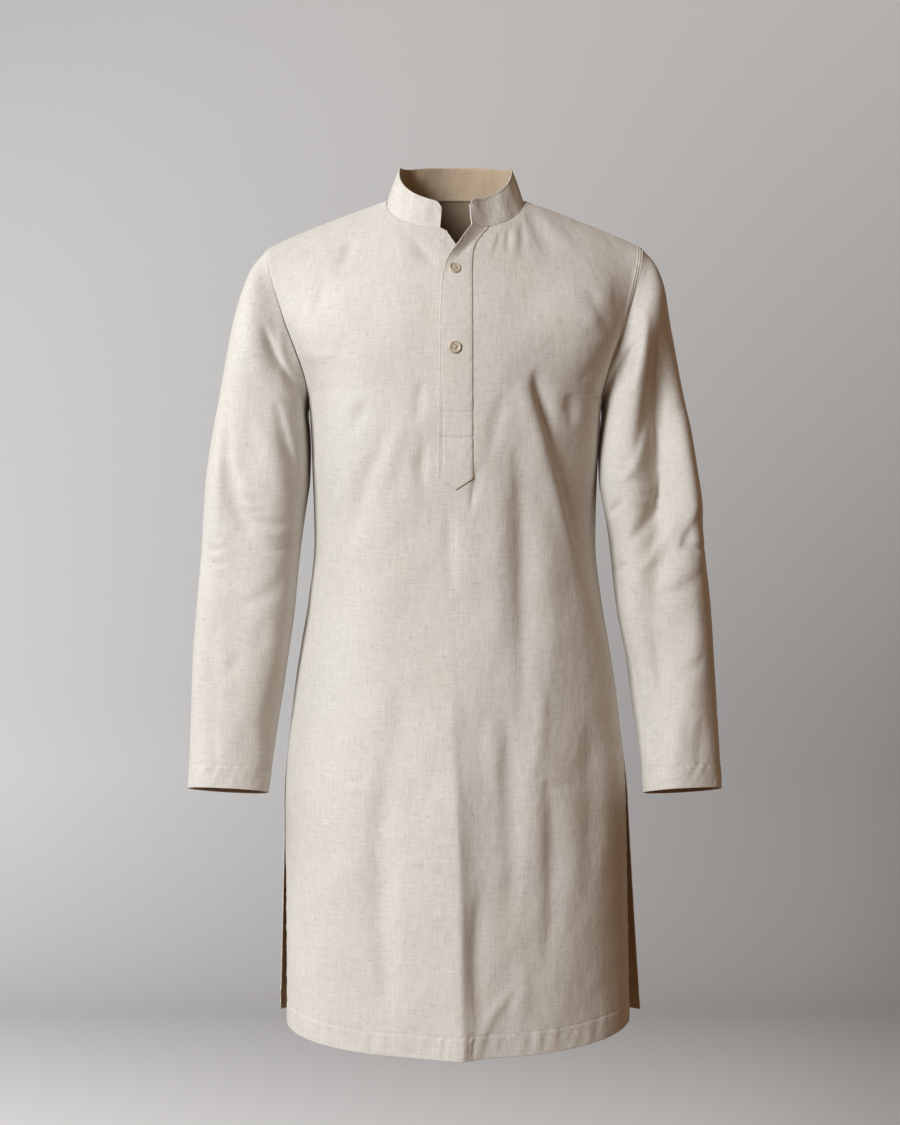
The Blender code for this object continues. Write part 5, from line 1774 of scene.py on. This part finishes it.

# %% [markdown]
# ## Riding the frame
#
# Each piece takes the place of its solid and moves with it.

# %% Pieces in place of their solids
NODES = {
    "front_cloth": ("front", "body_cloth"),
    "back_cloth": ("back", "body_cloth"),
    "sleeve_left_cloth": ("sleeve_left", "sleeve_cloth"),
    "sleeve_right_cloth": ("sleeve_right", "sleeve_cloth"),
    "collar_cloth": ("collar", "collar_cloth"),
    "placket_over_cloth": ("placket_over", "placket_cloth"),
    "placket_under_cloth": ("placket_under", "placket_cloth"),
}
for name, (node, slot) in NODES.items():
    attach(made[name], "root")
    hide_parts(node)
for name, piece in made.items():
    if name.endswith("_stitching"):
        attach(piece, "root")
for name, (piece, cross) in button_pieces.items():
    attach(piece, "root")
    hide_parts(name)
    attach(cross, "root")

# %% [markdown]
# ## Light and view
#
# The tunic is seen level from straight in front, two metres away. A broad soft light stands in front and
# well to the left, so the folds on the right fall into warm shade. The floor runs up into the wall in one
# sweep, pale, with painted light and shade in its colour.

# %% Stage
FLOOR = -1.66
WALL_Y = 3.4
COVE = 0.8
STAGE_HALF = 6.0
COVE_STEPS = 24
FLOOR_FROM = 1.2
WALL_TOP = 4.5

profile = [(FLOOR_FROM, FLOOR), (WALL_Y - COVE, FLOOR)]
for i in range(1, COVE_STEPS + 1):
    angle = math.pi / 2 * i / COVE_STEPS
    profile.append((WALL_Y - COVE + COVE * math.sin(angle), FLOOR + COVE * (1 - math.cos(angle))))
profile.append((WALL_Y, WALL_TOP))
vertices = [(x, y, z) for y, z in profile for x in (-STAGE_HALF, STAGE_HALF)]
sweep = [(2 * i, 2 * i + 1, 2 * i + 3, 2 * i + 2) for i in range(len(profile) - 1)]
backdrop_data = bpy.data.meshes.new("backdrop")
backdrop_data.from_pydata(vertices, [], sweep)
backdrop_data.polygons.foreach_set("use_smooth", [True] * len(sweep))
backdrop = bpy.data.objects.new("backdrop", backdrop_data)
bpy.context.scene.collection.objects.link(backdrop)
print("backdrop:", len(sweep), "strips from floor to wall")

# %% [markdown]
# The paper's colour carries painted light and shade: it is painted lighter towards the top of the wall,
# darker towards the lower right as a painted shadow, a little less dark again low on the floor there, and
# lighter on the floor towards the front.

# %% Paper of the backdrop
# These numbers paint light and shade into the paper's colour: lighter upwards, a painted shadow to the lower
# right, lighter on the near floor.
PAPER = (0.586, 0.600, 0.614)
PAPER_PAINTED_LIGHT_MIDDLE = 1.03
PAPER_PAINTED_LIGHT_UPWARD = 0.083
PAPER_PAINTED_LIGHT_SIDEWAYS = 0.01
PAPER_PAINTED_SHADOW_CORNER = 0.142
PAPER_PAINTED_SHADOW_LOW_SIDE = 0.11
PAPER_PAINTED_SHADOW_LOW_TOP = -1.1
PAPER_PAINTED_SHADOW_LOW_RATE = 2.2
PAPER_PAINTED_LIGHT_NEAR_Y = 2.6
PAPER_PAINTED_LIGHT_NEAR = 0.48

backdrop_paper_painted_light = plain_finish("backdrop_paper_painted_light", PAPER, 0.9, 300.0, 0.02, 0.1)
paper_tree = backdrop_paper_painted_light.node_tree
paper_place = Link(paper_tree, paper_tree.nodes.new("ShaderNodeTexCoord").outputs["Object"])
paper_split = paper_place.node("ShaderNodeSeparateXYZ", Vector=paper_place).socket.node
paper_x, paper_y, paper_z = (Link(paper_tree, paper_split.outputs[axis]) for axis in "XYZ")
# Painted light and shade: the paper's colour is made lighter upwards, darker to the lower right and lighter
# on the near floor.
paper_low_painted_shadow = ((PAPER_PAINTED_SHADOW_LOW_TOP - paper_z) * PAPER_PAINTED_SHADOW_LOW_RATE).math("MAXIMUM", 0.0)
paper_painted_shadow_slope = PAPER_PAINTED_LIGHT_SIDEWAYS + paper_z * PAPER_PAINTED_SHADOW_CORNER + paper_low_painted_shadow * PAPER_PAINTED_SHADOW_LOW_SIDE
paper_painted_light = PAPER_PAINTED_LIGHT_MIDDLE + paper_z * PAPER_PAINTED_LIGHT_UPWARD + paper_x * paper_painted_shadow_slope
paper_painted_light = paper_painted_light + (PAPER_PAINTED_LIGHT_NEAR_Y - paper_y).math("MAXIMUM", 0.0) * PAPER_PAINTED_LIGHT_NEAR
paper_painted_light_colour = paper_painted_light.node("ShaderNodeVectorMath", {"operation": "SCALE"}, Vector=PAPER, Scale=paper_painted_light)
paper_tree.links.new(paper_painted_light_colour.socket, paper_tree.nodes["Principled BSDF"].inputs["Base Color"])
backdrop_data.materials.append(backdrop_paper_painted_light)
print("paper:", PAPER, "in its middle")


# %% [markdown]
# The main light is broad and cool. A weak warm light and the warm room fill the shade, and a third light
# falls on the wall.

# %% Lights
def area_light(name, place, aim, size, power, colour=(1.0, 1.0, 1.0)):
    data = bpy.data.lights.new(name, "AREA")
    data.shape = "RECTANGLE"
    data.size, data.size_y = size
    data.energy = power
    data.color = colour
    lamp = bpy.data.objects.new(name, data)
    lamp.location = place
    lamp.rotation_euler = (Vector(aim) - Vector(place)).to_track_quat("-Z", "Y").to_euler()
    bpy.context.scene.collection.objects.link(lamp)
    return lamp


TUNIC_MIDDLE = (0.0, 0.0, -0.5)
COOL = (0.94, 0.98, 1.0)
WARM = (1.0, 0.62, 0.36)
ROOM = (1.0, 0.60, 0.34, 1.0)
ROOM_STRENGTH = 0.15

area_light("key", (-2.87, -3.65, 1.0), TUNIC_MIDDLE, (1.6, 2.0), 236.0, COOL)
area_light("fill", (2.8, -2.2, 0.0), TUNIC_MIDDLE, (2.4, 2.4), 4.0, WARM)
area_light("wall_light", (-2.6, 0.6, 1.2), (-0.8, 3.4, -0.4), (2.0, 2.0), 60.0)
world = bpy.data.worlds.new("studio") if bpy.context.scene.world is None else bpy.context.scene.world
bpy.context.scene.world = world
world.use_nodes = True
world.node_tree.nodes["Background"].inputs["Color"].default_value = ROOM
world.node_tree.nodes["Background"].inputs["Strength"].default_value = ROOM_STRENGTH
print("lights:", [item.name for item in bpy.context.scene.objects if item.type == "LIGHT"])

# %% [markdown]
# The view is level, from two metres away and near the middle of the tunic's height.

# %% View
LENS = 53.76
VIEW_FROM = (-0.006, -2.0, -0.431)

camera_data = bpy.data.cameras.new("camera")
camera_data.lens = LENS
camera = bpy.data.objects.new("camera", camera_data)
camera.location = VIEW_FROM
camera.rotation_euler = (math.pi / 2, 0, 0)
bpy.context.scene.collection.objects.link(camera)
bpy.context.scene.camera = camera
bpy.context.scene.view_settings.view_transform = "Standard"
print("seen from", VIEW_FROM)
